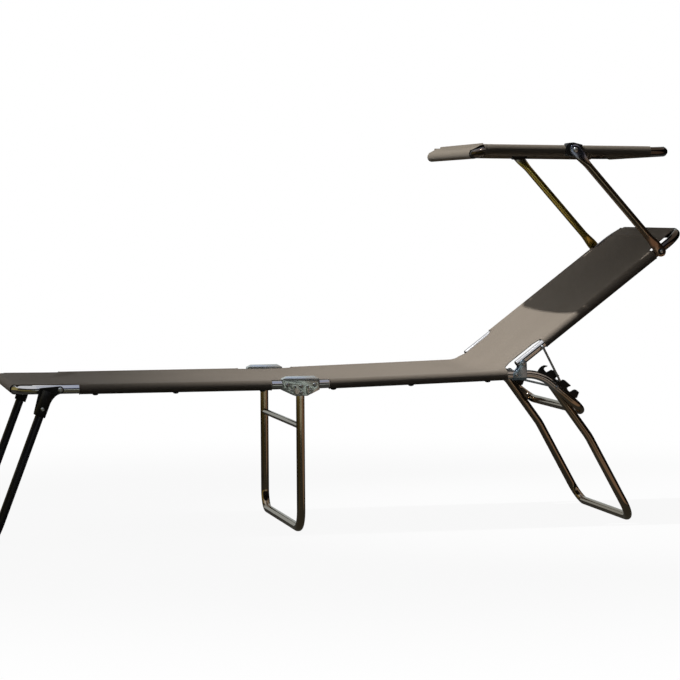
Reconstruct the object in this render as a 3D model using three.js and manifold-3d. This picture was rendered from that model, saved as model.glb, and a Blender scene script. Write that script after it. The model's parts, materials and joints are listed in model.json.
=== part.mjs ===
// Folding three-leg sun lounger with a tilting canopy.
// Millimetres, +Z up, +X towards the head end, the side tubes run along X.
import * as THREE from 'three';
import { mergeVertices } from 'three/addons/utils/BufferGeometryUtils.js';
import Module from 'manifold-3d';

const wasm = await Module();
wasm.setup();

// Clearances
const gap = 0.3;              // between two pieces that touch
const pinPlay = 0.35;         // round a pin in its hole
const slingGap = 0.4;         // between the cloth of the foot and seat sections
const overrun = 5;            // how far a cut runs past what it cuts

// Side tubes and the frame
const tubeRadius = 11;
const tubeWall = 1.5;
const halfSpan = 267.5;       // middle of the lounger to the axis of a side tube
const seatHeight = 384;       // floor to the tube axes at the middle hinge
const frameBend = 50;         // bend radius of the frame corners
const legBend = 50;           // bend radius of the leg corners
const footReach = 727;        // middle leg to the foot crossbar

// Seat section and its tail
const seatRise = 1.55;        // degrees that the seat climbs towards the head
const tailKneeReach = 638.4;  // middle leg to the bend of the tail
const tailKneeBend = 100;
const tailDrop = 41.55;       // degrees that the tail turns down from the seat
const tailLength = 157.9;     // from the bend's corner to the tail crossbar
const tailCornerBend = 48;
const axleReach = 56.8;       // from the bend's corner to the rear leg axle, down the tail

// Backrest
const backPivotInset = 47.9;  // from the tail's bend corner back to the backrest pivot, along the seat
const backPivotReach = tailKneeReach - backPivotInset;
const backPivotRise = 29;     // above the seat axis
const backAngle = 37.2;       // degrees above level
const backAxisOffset = 5.5;   // pivot to the backrest tube axis
const backTail = 12.5;        // tube past the pivot
const backLength = 549.3;     // pivot to the head crossbar

// Middle hinge and leg
const hingePivotReach = 36;   // middle leg axis to each fold pivot
const tubeEndPast = 13.5;     // tube past its fold pivot
const stopPinInset = 12.5;    // stop rivet from the fold pivot, towards the leg
const shellHalfLength = 48.5;
const shellWall = 2;
const shellTop = 19.9;        // inside height above the tube axes, for the ends as they swing
const shellCorner = 3.8;       // inside corner radius of the shell's top
const shellSkirt = 28;        // below the tube axes, beside the leg
const shellSkirtEnd = 12.5;   // below the tube axes, at the shell's ends
const shellEndSlope = 12;     // length of the sloped end of the shell's top
const shellFootShare = 0.33;  // where the skirt's sloped edge starts, of the half length
const ribRadius = 3.4;
const ribReach = 16.5;        // middle leg axis to each pressed rib
const ribStand = 1.2;         // rib above the shell's face
const legTopRise = 5;         // leg above the tube axes, inside the shell
const crossbarRadius = 8;
const crossbarHeight = 277;

// Foot leg and its plastic bracket
const footLegSpan = 293.5;    // middle of the lounger to the foot leg's axis
const footPivotInset = 109;   // foot crossbar to the foot leg's pivot
const footPivotReach = footReach - footPivotInset;
const footLegAngle = 20.8;    // degrees from upright
const footLegOffset = 26.9;   // pivot to the leg's axis
const bracketWall = 3.5;      // round the leg
const bracketPlate = 11;      // thickness beside the side tube
const bracketLength = 79;     // from the pivot down the leg
const bracketSocketTop = 14;  // from the pivot down to the socket's closed top
const bracketHead = 9.5;      // radius of the head round the pivot
const bracketShoulder = 49.6; // outermost corner beside the tube
const bracketShoulderDrop = 12.8;
const bracketThroat = 50;     // where the hollow side meets the socket
const lipWidth = 24;          // stop lip under the side tube
const lipThickness = 5;
const lipInset = 29;          // pivot to the near edge of the lip
const footBoltReach = 60;     // pivot to the bolt through the leg, down the leg

// Rear leg
const rearLegSpan = 239.5;    // middle of the lounger to the rear leg's axis
const rearLegPast = 8.5;      // tube above the axle
const rearKneeReach = 164.5;  // axle to the knee
const rearKneeBend = 120;
const rearFootReach = 896.8;  // middle leg to the rear crossbar on the floor
const bushRadius = 8;

// Ratchet rack and the prop wire
const wireRadius = 3;
const wireSpan = 285.5;       // middle of the lounger to the prop's arms
const wireBend = 6;
const wirePast = 17;          // wire inside the backrest tube
const propReach = 67.8;       // backrest pivot to the prop's pivot, up the backrest
const notchPitch = 41;
const notchCount = 3;
const seatedNotch = 1;        // counted from the top notch, which is 0
const notchReach = -47;       // axle to the first notch, down the tail
const notchStand = 16.5;      // tail axis to the middle of a seated wire
const rackWidth = 16;
const rackTop = 28;           // tail axis to the top of the teeth
const rackStart = -64;        // axle to the rack's upper end
const rackEnd = 57;
const rackScrewReach = 13.5;  // axle to the rack's rivet
const rackSeat = 4;           // tube to the sunk rivet's head
const hookShares = [[-0.215, 1], [-0.205, 0.84], [-0.26, 0.6], [-0.305, 0.36], [-0.27, 0.13],
  [-0.15, 0]];                // of the pitch and of the notch's depth, from the wire's middle

// Backrest hinge plate
const plateWall = 2.5;
const plateEar = 9.5;         // radius of the ear round the pivot
const plateFront = 27;        // pivot to the plate's end towards the foot
const plateShoulder = 7;      // height of the plate's low part above the tube axis

// Rivets and bolts
const rivetRadius = 3;
const rivetHead = 5.5;
const rivetCap = 2.2;
const domeShare = 0.6;        // a head's flat top against its radius
const smallRivetShare = 0.8;  // leg, plate and rack rivets against the pivot rivets
const stopRivetShare = 0.66;
const stopHeadShare = 0.6;
const smallRivet = rivetRadius * smallRivetShare;
const smallHead = rivetHead * smallRivetShare;
const boltRadius = 4;
const boltHead = 7;
const boltCap = 3.5;

// Canopy posts
const postRadius = 10;
const postWall = 1.5;
const postSpan = 292.2;       // middle of the lounger to the posts
const postReach = 470.5;      // backrest pivot to the post pivot, up the backrest
const postLength = 353.4;     // pivot to pivot
const postAngle = 131.15;     // degrees above level, leaning to the foot end
const postFlatHalfWidth = 14;
const postFlatHalf = 3;       // half of the flattened thickness
const postTaper = 42;         // length over which the tube goes flat
const postWasher = 9;

// Canopy
const canopyReach = 257;      // canopy pivot to each canopy crossbar
const canopyTilt = 0.87;      // degrees that the head end hangs down
const canopyBend = 32;
const canopyFrontDrop = 12;   // foot-side crossbar below the side tubes
const canopyFrontCrank = 36;  // length over which the side tube drops
const canopyCrankBend = 20;
const canopyRows = 9;         // facets of the cloth from crossbar to crossbar
const canopyTubeEnd = 3;      // pivot to the end of each half frame
const canopySag = 23;
const canopySleeveFoot = 246; // canopy pivot to the end of the sleeves, foot side
const canopySleeveHead = 210;
const blockHalfLength = 22;
const blockRise = 20;
const blockFall = 15;
const blockWall = 4.5;
const blockCornerShares = [[-1, -0.55], [-0.62, -1], [0.62, -1], [1, -0.6], [1, 0.72], [-0.1, 1],
  [-0.75, 0.9], [-1, 0.45]];

// Cloth
const clothThickness = 2.2;
const slingSag = 10;
const slingEase = 150;        // distance over which the sag starts from a crossbar
const cutoutEdge = 250;       // middle of the lounger to the cloth's edge at the hinges
const headCutoutEdge = 235;
const hemReach = 225;         // half length of the hems round the crossbars
const footCutoutInset = 51;   // foot leg's pivot to the end of the foot section's sleeves
const footCutout = footPivotReach - footCutoutInset;
const hingeCutout = 76;       // middle leg to the sleeves on both sides of it
const seatSleeveInset = 37.5; // backrest pivot to the end of the seat's sleeves
const seatClothInset = 30.5;
const seatSleeveEnd = backPivotReach - seatSleeveInset;
const seatClothEnd = backPivotReach - seatClothInset;
const backClothStart = 4;
const backSleeveStart = 80;
const backSleeveEnd = 455;

// Fineness of the round forms
const tubeSides = 12;
const thinSides = 8;
const pinSides = 8;
const boreSides = 6;
const boreShare = Math.cos(Math.PI / boreSides);   // keeps the wall at a bore's corners
const bendStep = 30;          // degrees of bend for each ring of a tube
const sheetColumns = 4;
const sheetRows = 6;
const arcSegments = 6;        // facets of each arc in a plate's outline

const deg = Math.PI / 180;
const turn = (angle) => new THREE.Vector2(Math.cos(angle * deg), Math.sin(angle * deg));
const at = (x, z) => new THREE.Vector2(x, z);

// A frame in the side view: a place along and above an inclined line, from its origin
const inclined = (origin, angle) => {
  const along = turn(angle);
  const above = at(-along.y, along.x);
  return (u, n) => origin.clone().addScaledVector(along, u).addScaledVector(above, n);
};

// Solids

function faceOut(geometry) {
  const place = geometry.getAttribute('position');
  const order = geometry.getIndex();
  const corner = (n) => new THREE.Vector3().fromBufferAttribute(place, order.getX(n));
  let volume = 0;
  for (let n = 0; n < order.count; n += 3) volume += corner(n).dot(corner(n + 1).cross(corner(n + 2)));
  if (volume < 0) {
    for (let n = 0; n < order.count; n += 3) {
      const first = order.getX(n);
      order.setX(n, order.getX(n + 1));
      order.setX(n + 1, first);
    }
  }
  return geometry;
}

function closed(geometry) {
  const bare = geometry.clone();
  bare.deleteAttribute('normal');
  bare.deleteAttribute('uv');
  return faceOut(mergeVertices(bare));
}

function solid(geometry) {
  const whole = closed(geometry);
  const vertProperties = new Float32Array(whole.getAttribute('position').array);
  const triVerts = new Uint32Array(whole.getIndex().array);
  return new wasm.Manifold(new wasm.Mesh({ numProp: 3, vertProperties, triVerts }));
}

function geometryOf(body) {
  const mesh = body.getMesh();
  const geometry = new THREE.BufferGeometry();
  geometry.setAttribute('position', new THREE.BufferAttribute(new Float32Array(mesh.vertProperties), 3));
  geometry.setIndex(new THREE.BufferAttribute(new Uint32Array(mesh.triVerts), 1));
  geometry.computeVertexNormals();
  return geometry;
}

const join = (...bodies) => bodies.reduce((whole, body) => whole.add(body));
const cut = (body, ...tools) => tools.reduce((rest, tool) => rest.subtract(tool), body);
const mirrored = (geometry) => closed(geometry.clone().scale(1, -1, 1));

// A tube path through corner points, each rounded by its own bend radius
class BentPath extends THREE.Curve {
  constructor(corners) {
    super();
    this.stations = [corners[0].point.clone()];
    for (let n = 1; n < corners.length - 1; n += 1) this.round(corners, n);
    this.stations.push(corners[corners.length - 1].point.clone());
  }

  round(corners, n) {
    const here = corners[n].point;
    const before = here.clone().sub(corners[n - 1].point).normalize();
    const after = corners[n + 1].point.clone().sub(here).normalize();
    const angle = before.angleTo(after);
    const axis = before.clone().cross(after).normalize();
    const start = here.clone().addScaledVector(before, -corners[n].bend * Math.tan(angle / 2));
    const spoke = before.clone().cross(axis).multiplyScalar(corners[n].bend);
    const centre = start.clone().sub(spoke);
    const count = Math.max(1, Math.round(angle / (bendStep * deg)));
    for (let k = 0; k <= count; k += 1) {
      this.stations.push(centre.clone().add(spoke.clone().applyAxisAngle(axis, (angle * k) / count)));
    }
  }

  getPoint(share) {
    return this.stations[Math.round(share * (this.stations.length - 1))].clone();
  }

  getSpacedPoints() {
    return this.stations.map((point) => point.clone());
  }

  // Frames carried along without twist, with the first normal in the side view
  computeFrenetFrames() {
    const last = this.stations.length - 1;
    const run = (a, b) => this.stations[b].clone().sub(this.stations[a]).normalize();
    const tangents = this.stations.map((point, n) => {
      if (n === 0) return run(0, 1);
      if (n === last) return run(last - 1, last);
      return run(n - 1, n).add(run(n, n + 1)).normalize();
    });
    const across = new THREE.Vector3(0, 1, 0);
    if (Math.abs(tangents[0].y) > Math.SQRT1_2) across.set(1, 0, 0);
    const normals = [across.clone().cross(tangents[0]).normalize()];
    for (let n = 1; n <= last; n += 1) {
      const swing = new THREE.Quaternion().setFromUnitVectors(tangents[n - 1], tangents[n]);
      normals.push(normals[n - 1].clone().applyQuaternion(swing));
    }
    const binormals = tangents.map((tangent, n) => tangent.clone().cross(normals[n]));
    // Each ring at a bend is widened across its mitre, so that the runs keep their full size
    for (let n = 1; n < last; n += 1) {
      const bendAcross = run(n, n + 1).sub(run(n - 1, n));
      if (bendAcross.lengthSq() < 1e-9) continue;
      const mitre = bendAcross.normalize();
      const widen = 1 / Math.abs(tangents[n].dot(run(n, n + 1))) - 1;
      for (const arm of [normals[n], binormals[n]]) arm.addScaledVector(mitre, arm.dot(mitre) * widen);
    }
    return { tangents, normals, binormals };
  }
}

// A regular section whose flats lie at the given radius
function polygon(radius, sides, twist, target) {
  const reach = radius / Math.cos(Math.PI / sides);
  for (let k = 0; k < sides; k += 1) {
    const angle = twist + ((k + 0.5) * 2 * Math.PI) / sides;
    if (k === 0) target.moveTo(reach * Math.cos(angle), reach * Math.sin(angle));
    else target.lineTo(reach * Math.cos(angle), reach * Math.sin(angle));
  }
  target.closePath();
  return target;
}

// Twist that lays one flat of a leg's middle ring on the floor
function floorTwist(path) {
  const frames = path.computeFrenetFrames();
  const middle = Math.floor(path.stations.length / 2);
  return Math.atan2(-frames.binormals[middle].z, -frames.normals[middle].z);
}

function sweep(corners, radius, { bore = 0, sides = tubeSides, floor = false } = {}) {
  const path = new BentPath(corners);
  const twist = floor ? floorTwist(path) : 0;
  const section = polygon(radius, sides, twist, new THREE.Shape());
  if (bore > 0) section.holes.push(polygon(bore * boreShare, boreSides, twist, new THREE.Path()));
  return new THREE.ExtrudeGeometry(section, {
    steps: path.stations.length - 1, extrudePath: path, bevelEnabled: false,
  });
}

const node3 = (place, y, bend = 0) => ({ point: new THREE.Vector3(place.x, y, place.y), bend });

// A U of tube: down one side, across, and back up the other
const uShape = (side, y, crossBend) => {
  const last = side.length - 1;
  const near = side.map((stop, n) => node3(stop.place, -y, n === last ? crossBend : stop.bend));
  const far = side.map((stop, n) => node3(stop.place, y, n === last ? crossBend : stop.bend));
  return [...near, ...far.reverse()];
};

// A pin along Y from a list of radius and reach pairs, near side, its axis at x = z = 0
function pinAlongY(profile) {
  const points = profile.map(([radius, y]) => new THREE.Vector2(radius, y));
  return new THREE.LatheGeometry(points, pinSides);
}

// A rivet: shank from one reach to another with a low domed head at each end
function rivetProfile(radius, head, cap, from, to) {
  const dome = head * domeShare;
  return [[0, from - cap], [dome, from - cap], [head, from], [radius, from],
    [radius, to], [head, to], [dome, to + cap], [0, to + cap]];
}

function drillAlongY(radius, place, from, to) {
  const length = to - from;
  const reach = radius / Math.cos(Math.PI / pinSides);
  const round = new THREE.CylinderGeometry(reach, reach, length, pinSides);
  return solid(round.translate(place.x, from + length / 2, place.y));
}

function boxBetween(low, high) {
  const size = high.clone().sub(low);
  const middle = high.clone().add(low).multiplyScalar(0.5);
  return solid(new THREE.BoxGeometry(size.x, size.y, size.z).translate(middle.x, middle.y, middle.z));
}

const corner = (x, y, z) => new THREE.Vector3(x, y, z);

// A plate of constant thickness from an outline in the side view
function plateAlongY(outline, from, to) {
  const plate = new THREE.ExtrudeGeometry(outline, {
    depth: to - from, bevelEnabled: false, curveSegments: arcSegments,
  });
  return solid(plate.rotateX(Math.PI / 2).translate(0, to, 0));
}

const outlineOf = (points) => new THREE.Shape(points.map((point) => new THREE.Vector2(point.x, point.y)));

function material(color, roughness, metalness) {
  return new THREE.MeshStandardMaterial({ color, roughness, metalness });
}

const finishes = {
  tube: () => material(0x8d7f6d, 0.22, 0.95),
  zinc: () => material(0xb4c0c6, 0.3, 0.95),
  rivet: () => material(0x9aa0a4, 0.35, 0.9),
  blackTube: () => material(0x15161a, 0.3, 0.4),
  plastic: () => material(0x0c0c0d, 0.55, 0),
  cloth: () => material(0x8a8077, 0.9, 0),
  wire: () => material(0x5a5f63, 0.3, 0.9),
};

function add(group, name, shape, finish) {
  const geometry = shape.isBufferGeometry ? closed(shape) : geometryOf(shape);
  const mesh = new THREE.Mesh(geometry, finishes[finish]());
  mesh.name = name;
  group.add(mesh);
  return mesh;
}

// The same piece on the near and the far side
function addPair(group, name, shape, finish) {
  const near = shape.isBufferGeometry ? closed(shape) : geometryOf(shape);
  add(group, `${name}_near`, near, finish);
  add(group, `${name}_far`, mirrored(near), finish);
}

// Places in the side view that several sections share
const middle = at(0, seatHeight);
const seatBase = inclined(at(hingePivotReach, seatHeight), seatRise)(-hingePivotReach, 0);
const onSeat = inclined(seatBase, seatRise);
const tailKnee = onSeat(tailKneeReach, 0);
const onTail = inclined(tailKnee, seatRise - tailDrop);
const axlePlace = onTail(axleReach, 0);
const backPivot = onSeat(backPivotReach, backPivotRise);
const onBack = inclined(backPivot, backAngle);
const postPivot = onBack(postReach, backAxisOffset);
const onPost = inclined(postPivot, postAngle);
const canopyPivot = onPost(postLength, 0);
const propPivot = onBack(propReach, backAxisOffset);
const seatedReach = notchReach + seatedNotch * notchPitch;
const propFoot = onTail(axleReach + seatedReach, notchStand);
const footPivot = at(-footPivotReach, seatHeight);

// The reach of a polygon tube's corners, and of its clearance
const tubeCorner = tubeRadius / Math.cos(Math.PI / tubeSides);
const tubeClear = tubeRadius + gap;
const sleeveRadius = tubeClear + clothThickness;
const bore = tubeRadius - tubeWall;

const lounger = new THREE.Group();

// A section's group, with its own origin in the side view and its own slope
function section(origin, slope) {
  const group = new THREE.Group();
  group.position.set(origin.x, 0, origin.y);
  group.rotation.y = -slope * deg;
  lounger.add(group);
  return group;
}

// Cloth: a sheet that sags between the side tubes, and eases to none at a crossbar
function clothSheet(from, to, halfWidth, level, dip) {
  const sheet = new THREE.BoxGeometry(to - from, 2 * halfWidth, clothThickness, sheetRows, sheetColumns, 1);
  sheet.translate((from + to) / 2, 0, level);
  const place = sheet.getAttribute('position');
  for (let n = 0; n < place.count; n += 1) {
    const share = place.getY(n) / halfWidth;
    place.setZ(n, place.getZ(n) + dip(place.getX(n)) * (1 - share * share));
  }
  return solid(sheet);
}

const ease = (share) => {
  const held = Math.min(Math.max(share, 0), 1);
  return held * held * (3 - 2 * held);
};

// Sleeves round both side tubes between two reaches
const sleeves = (from, to, z, radius = sleeveRadius) => [-halfSpan, halfSpan].map(
  (y) => solid(sweep([{ point: corner(from, y, z) }, { point: corner(to, y, z) }], radius)),
);

const hem = (x, z, half) => solid(sweep([{ point: corner(x, -half, z) }, { point: corner(x, half, z) }],
  sleeveRadius));

// Openings in the cloth outside an edge, on both sides, between two reaches
function cutouts(from, to, edge, z) {
  const out = halfSpan + sleeveRadius + overrun;
  const rise = sleeveRadius + overrun;
  return [
    boxBetween(corner(from, -out, z - rise), corner(to, -edge, z + rise)),
    boxBetween(corner(from, edge, z - rise), corner(to, out, z + rise)),
  ];
}

// Foot section: an open U of tube with the cloth slung on it
function footSection() {
  const group = section(middle, 0);
  const side = [{ place: at(tubeEndPast - hingePivotReach, 0) }, { place: at(-footReach, 0) }];
  const path = uShape(side, halfSpan, frameBend);
  const reach = halfSpan + 2 * tubeRadius;
  const tube = cut(
    solid(sweep(path, tubeRadius, { bore })),
    drillAlongY(rivetRadius + pinPlay, at(-hingePivotReach, 0), -reach, reach),
    drillAlongY(boltRadius + pinPlay, at(-footPivotReach, 0), -reach, reach),
  );
  add(group, 'foot_frame_tube', tube, 'tube');

  const dip = (x) => -slingSag * ease((x + footReach) / slingEase);
  const level = tubeClear + clothThickness / 2;
  const cloth = cut(
    join(clothSheet(-footReach, -slingGap, halfSpan, level, dip), ...sleeves(-footCutout, -hingeCutout, 0),
      hem(-footReach, 0, hemReach)),
    solid(sweep(path, tubeClear)),
    ...cutouts(-footReach - sleeveRadius - overrun, -footCutout, cutoutEdge, 0),
    ...cutouts(-hingeCutout, overrun, cutoutEdge, 0),
  );
  add(group, 'foot_sling', cloth, 'cloth');
}

// Foot leg: a black U that swings on two plastic brackets outside the frame
function footLeg() {
  const legGroup = section(footPivot, 0);
  const down = at(-Math.sin(footLegAngle * deg), -Math.cos(footLegAngle * deg));
  const out = at(down.y, -down.x);
  const onLeg = (p, d) => at(0, 0).addScaledVector(out, p).addScaledVector(down, d);
  const drop = (seatHeight - tubeRadius + out.y * footLegOffset) / -down.y;
  const top = onLeg(footLegOffset, bracketSocketTop + bracketWall);
  const path = uShape([{ place: top }, { place: onLeg(footLegOffset, drop) }], footLegSpan, legBend);
  const boltPlace = onLeg(footLegOffset, footBoltReach);
  const reach = footLegSpan + 2 * tubeRadius;
  const tube = cut(solid(sweep(path, tubeRadius, { bore, floor: true })),
    drillAlongY(rivetRadius + pinPlay, boltPlace, -reach, reach));
  add(legGroup, 'foot_leg_tube', tube, 'blackTube');

  const inner = -(halfSpan + tubeCorner + gap);
  const outer = -(footLegSpan + tubeCorner + bracketWall);
  const half = tubeCorner + bracketWall;
  const shoulder = onLeg(bracketShoulder, bracketShoulderDrop);
  const outline = new THREE.Shape();
  const go = (place) => outline.lineTo(place.x, place.y);
  const foot = onLeg(footLegOffset - half, bracketLength);
  outline.moveTo(foot.x, foot.y);
  const throat = onLeg(footLegOffset - half, bracketThroat);
  go(throat);
  const bend = onLeg(footLegOffset - half, bracketHead * 2);
  outline.quadraticCurveTo(bend.x, bend.y, 0, -bracketHead);
  outline.absarc(0, 0, bracketHead, -Math.PI / 2, Math.PI / 2, false);
  go(at(shoulder.x + bracketWall, bracketHead - bracketWall));
  go(shoulder);
  go(onLeg(footLegOffset + half, bracketLength));
  outline.closePath();
  const plate = plateAlongY(outline, inner - bracketPlate, inner);

  const socketLength = bracketLength - bracketSocketTop;
  const socket = new THREE.CylinderGeometry(half, half, socketLength, tubeSides);
  socket.translate(0, -bracketSocketTop - socketLength / 2, 0).rotateX(Math.PI / 2);
  socket.rotateY(footLegAngle * deg);
  const socketTop = onLeg(footLegOffset, 0);
  socket.translate(socketTop.x, -footLegSpan, socketTop.y);
  const trim = boxBetween(corner(-bracketLength * 2, inner, -bracketLength * 2),
    corner(bracketLength, inner + bracketLength, bracketLength));
  const lipTop = -(tubeCorner + gap);
  const lip = boxBetween(corner(-lipInset - lipWidth, inner - bracketWall, lipTop - lipThickness),
    corner(-lipInset, -halfSpan + tubeRadius / 2, lipTop));
  const reachOut = -outer + overrun;
  const bracket = cut(
    join(plate, cut(solid(socket), trim), lip),
    solid(sweep(path, tubeRadius + gap, { floor: true })),
    drillAlongY(boltRadius + pinPlay, at(0, 0), -reachOut, inner + overrun),
    drillAlongY(rivetRadius + pinPlay, boltPlace, -reachOut, inner + overrun),
  );
  addPair(legGroup, 'foot_leg_bracket', bracket, 'plastic');

  const legBolt = pinAlongY(rivetProfile(rivetRadius, rivetHead, rivetCap, outer - gap, inner + gap * 2));
  legBolt.translate(boltPlace.x, 0, boltPlace.y);
  const legBoltTrim = cut(solid(legBolt), boxBetween(
    corner(boltPlace.x - rivetHead * 2, inner - gap, boltPlace.y - rivetHead * 2),
    corner(boltPlace.x + rivetHead * 2, inner + overrun, boltPlace.y + rivetHead * 2),
  ));
  addPair(legGroup, 'foot_leg_bolt', legBoltTrim, 'rivet');

  const footFrame = section(footPivot, 0);
  const head = inner - bracketPlate - gap;
  const pivotBolt = pinAlongY([[0, head - boltCap], [boltHead * domeShare, head - boltCap],
    [boltHead, head - boltCap / 3], [boltHead, head], [boltRadius, head],
    [boltRadius, -halfSpan + bore / 2], [0, -halfSpan + bore / 2]]);
  addPair(footFrame, 'foot_leg_pivot_bolt', pivotBolt, 'rivet');
}

// Middle hinge: a pressed shell over both tube ends, and the leg held in its skirt
function middleHinge() {
  const group = section(middle, 0);
  const inside = tubeCorner + gap * 2;
  const wallOut = inside + shellWall;
  const endRoom = tubeCorner + gap + shellHalfLength * Math.tan(seatRise * deg);

  const arch = (half, floor) => {
    const bend = shellCorner + half - inside;
    const crown = shellTop - shellCorner;
    const shape = new THREE.Shape();
    shape.moveTo(-half, floor);
    shape.lineTo(half, floor);
    shape.lineTo(half, crown);
    shape.absarc(half - bend, crown, bend, 0, Math.PI / 2, false);
    shape.absarc(bend - half, crown, bend, Math.PI / 2, Math.PI, false);
    shape.closePath();
    return shape;
  };
  const archAlongX = (half, floor, length) => {
    const bar = new THREE.ExtrudeGeometry(arch(half, floor), {
      depth: length, bevelEnabled: false, curveSegments: tubeSides / 4,
    });
    bar.translate(0, 0, -length / 2).rotateX(Math.PI / 2).rotateZ(Math.PI / 2);
    return solid(bar.translate(0, -halfSpan, 0));
  };
  // Side outline: flat top with sloped ends, skirt drawn down towards the leg
  const sideOutline = (shrink, floor) => {
    const end = shellHalfLength;
    const top = shellTop + shellWall - shrink;
    const endTop = endRoom + shellWall - shrink;
    return outlineOf([at(-end, -floor.end), at(-end * shellFootShare, -floor.middle),
      at(end * shellFootShare, -floor.middle), at(end, -floor.end), at(end, endTop),
      at(end - shellEndSlope, top), at(shellEndSlope - end, top), at(-end, endTop)]);
  };
  const long = 2 * (shellHalfLength + overrun);
  const deep = shellSkirt + overrun;
  const from = -halfSpan - wallOut - overrun;
  const to = -halfSpan + wallOut + overrun;
  const outside = archAlongX(wallOut, -deep, long).intersect(
    plateAlongY(sideOutline(0, { end: shellSkirtEnd, middle: shellSkirt }), from, to),
  );
  const hollow = archAlongX(inside, -deep - overrun, long + overrun).intersect(join(
    plateAlongY(sideOutline(shellWall, { end: deep * 2, middle: deep * 2 }), from, to),
    boxBetween(corner(-long, from, -deep * 2), corner(long, to, endRoom)),
  ));
  const ribs = [];
  for (const face of [-halfSpan - wallOut, -halfSpan + wallOut]) {
    for (const x of [-ribReach, ribReach]) {
      const rib = new THREE.CapsuleGeometry(ribRadius, shellSkirt - 3 * ribRadius, 1, thinSides);
      rib.rotateX(Math.PI / 2).translate(x, 0, -shellSkirt / 2 + ribRadius / 2);
      const depth = ribStand / ribRadius;
      ribs.push(solid(rib.scale(1, depth, 1).translate(0, face, 0)));
    }
  }
  const stopRadius = rivetRadius * stopRivetShare;
  const stopDrop = -(tubeCorner + gap + stopRadius);
  const pivots = [at(-hingePivotReach, 0), at(hingePivotReach, 0)];
  const stops = [at(stopPinInset - hingePivotReach, stopDrop),
    inclined(pivots[1], seatRise)(-stopPinInset, stopDrop)];
  const legRivets = [-tubeRadius * 0.25, -shellSkirt + tubeRadius * 0.7];
  const holes = [
    ...pivots.map((place) => drillAlongY(rivetRadius + pinPlay, place, from, to)),
    ...stops.map((place) => drillAlongY(stopRadius + pinPlay, place, from, to)),
    ...legRivets.map((z) => drillAlongY(smallRivet + pinPlay, at(0, z), from, to)),
  ];
  const shell = cut(join(cut(outside, hollow), ...ribs), hollow, ...holes);
  addPair(group, 'middle_hinge_shell', shell, 'zinc');

  const faceNear = -halfSpan - wallOut - gap;
  const faceFar = -halfSpan + wallOut + gap;
  const rivetAt = (name, place, radius, head) => {
    const pin = pinAlongY(rivetProfile(radius, head, rivetCap, faceNear, faceFar));
    addPair(group, name, pin.translate(place.x, 0, place.y), 'rivet');
  };
  rivetAt('foot_fold_rivet', pivots[0], rivetRadius, rivetHead);
  rivetAt('seat_fold_rivet', pivots[1], rivetRadius, rivetHead);
  rivetAt('foot_stop_rivet', stops[0], stopRadius, rivetHead * stopHeadShare);
  rivetAt('seat_stop_rivet', stops[1], stopRadius, rivetHead * stopHeadShare);
  rivetAt('leg_rivet_upper', at(0, legRivets[0]), smallRivet, smallHead);
  rivetAt('leg_rivet_lower', at(0, legRivets[1]), smallRivet, smallHead);

  const legPath = uShape([{ place: at(0, legTopRise) }, { place: at(0, tubeRadius - seatHeight) }],
    halfSpan, legBend);
  const reach = halfSpan + 2 * tubeRadius;
  const leg = cut(solid(sweep(legPath, tubeRadius, { bore, floor: true })),
    ...legRivets.map((z) => drillAlongY(smallRivet + pinPlay, at(0, z), -reach, reach)));
  add(group, 'middle_leg_tube', leg, 'tube');

  const barZ = crossbarHeight - seatHeight;
  const barPath = [{ point: corner(0, -halfSpan, barZ) }, { point: corner(0, halfSpan, barZ) }];
  const bar = cut(solid(sweep(barPath, crossbarRadius, { bore: crossbarRadius - tubeWall })),
    solid(sweep(legPath, tubeClear, { floor: true })));
  add(group, 'middle_leg_crossbar', bar, 'tube');
}

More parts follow.
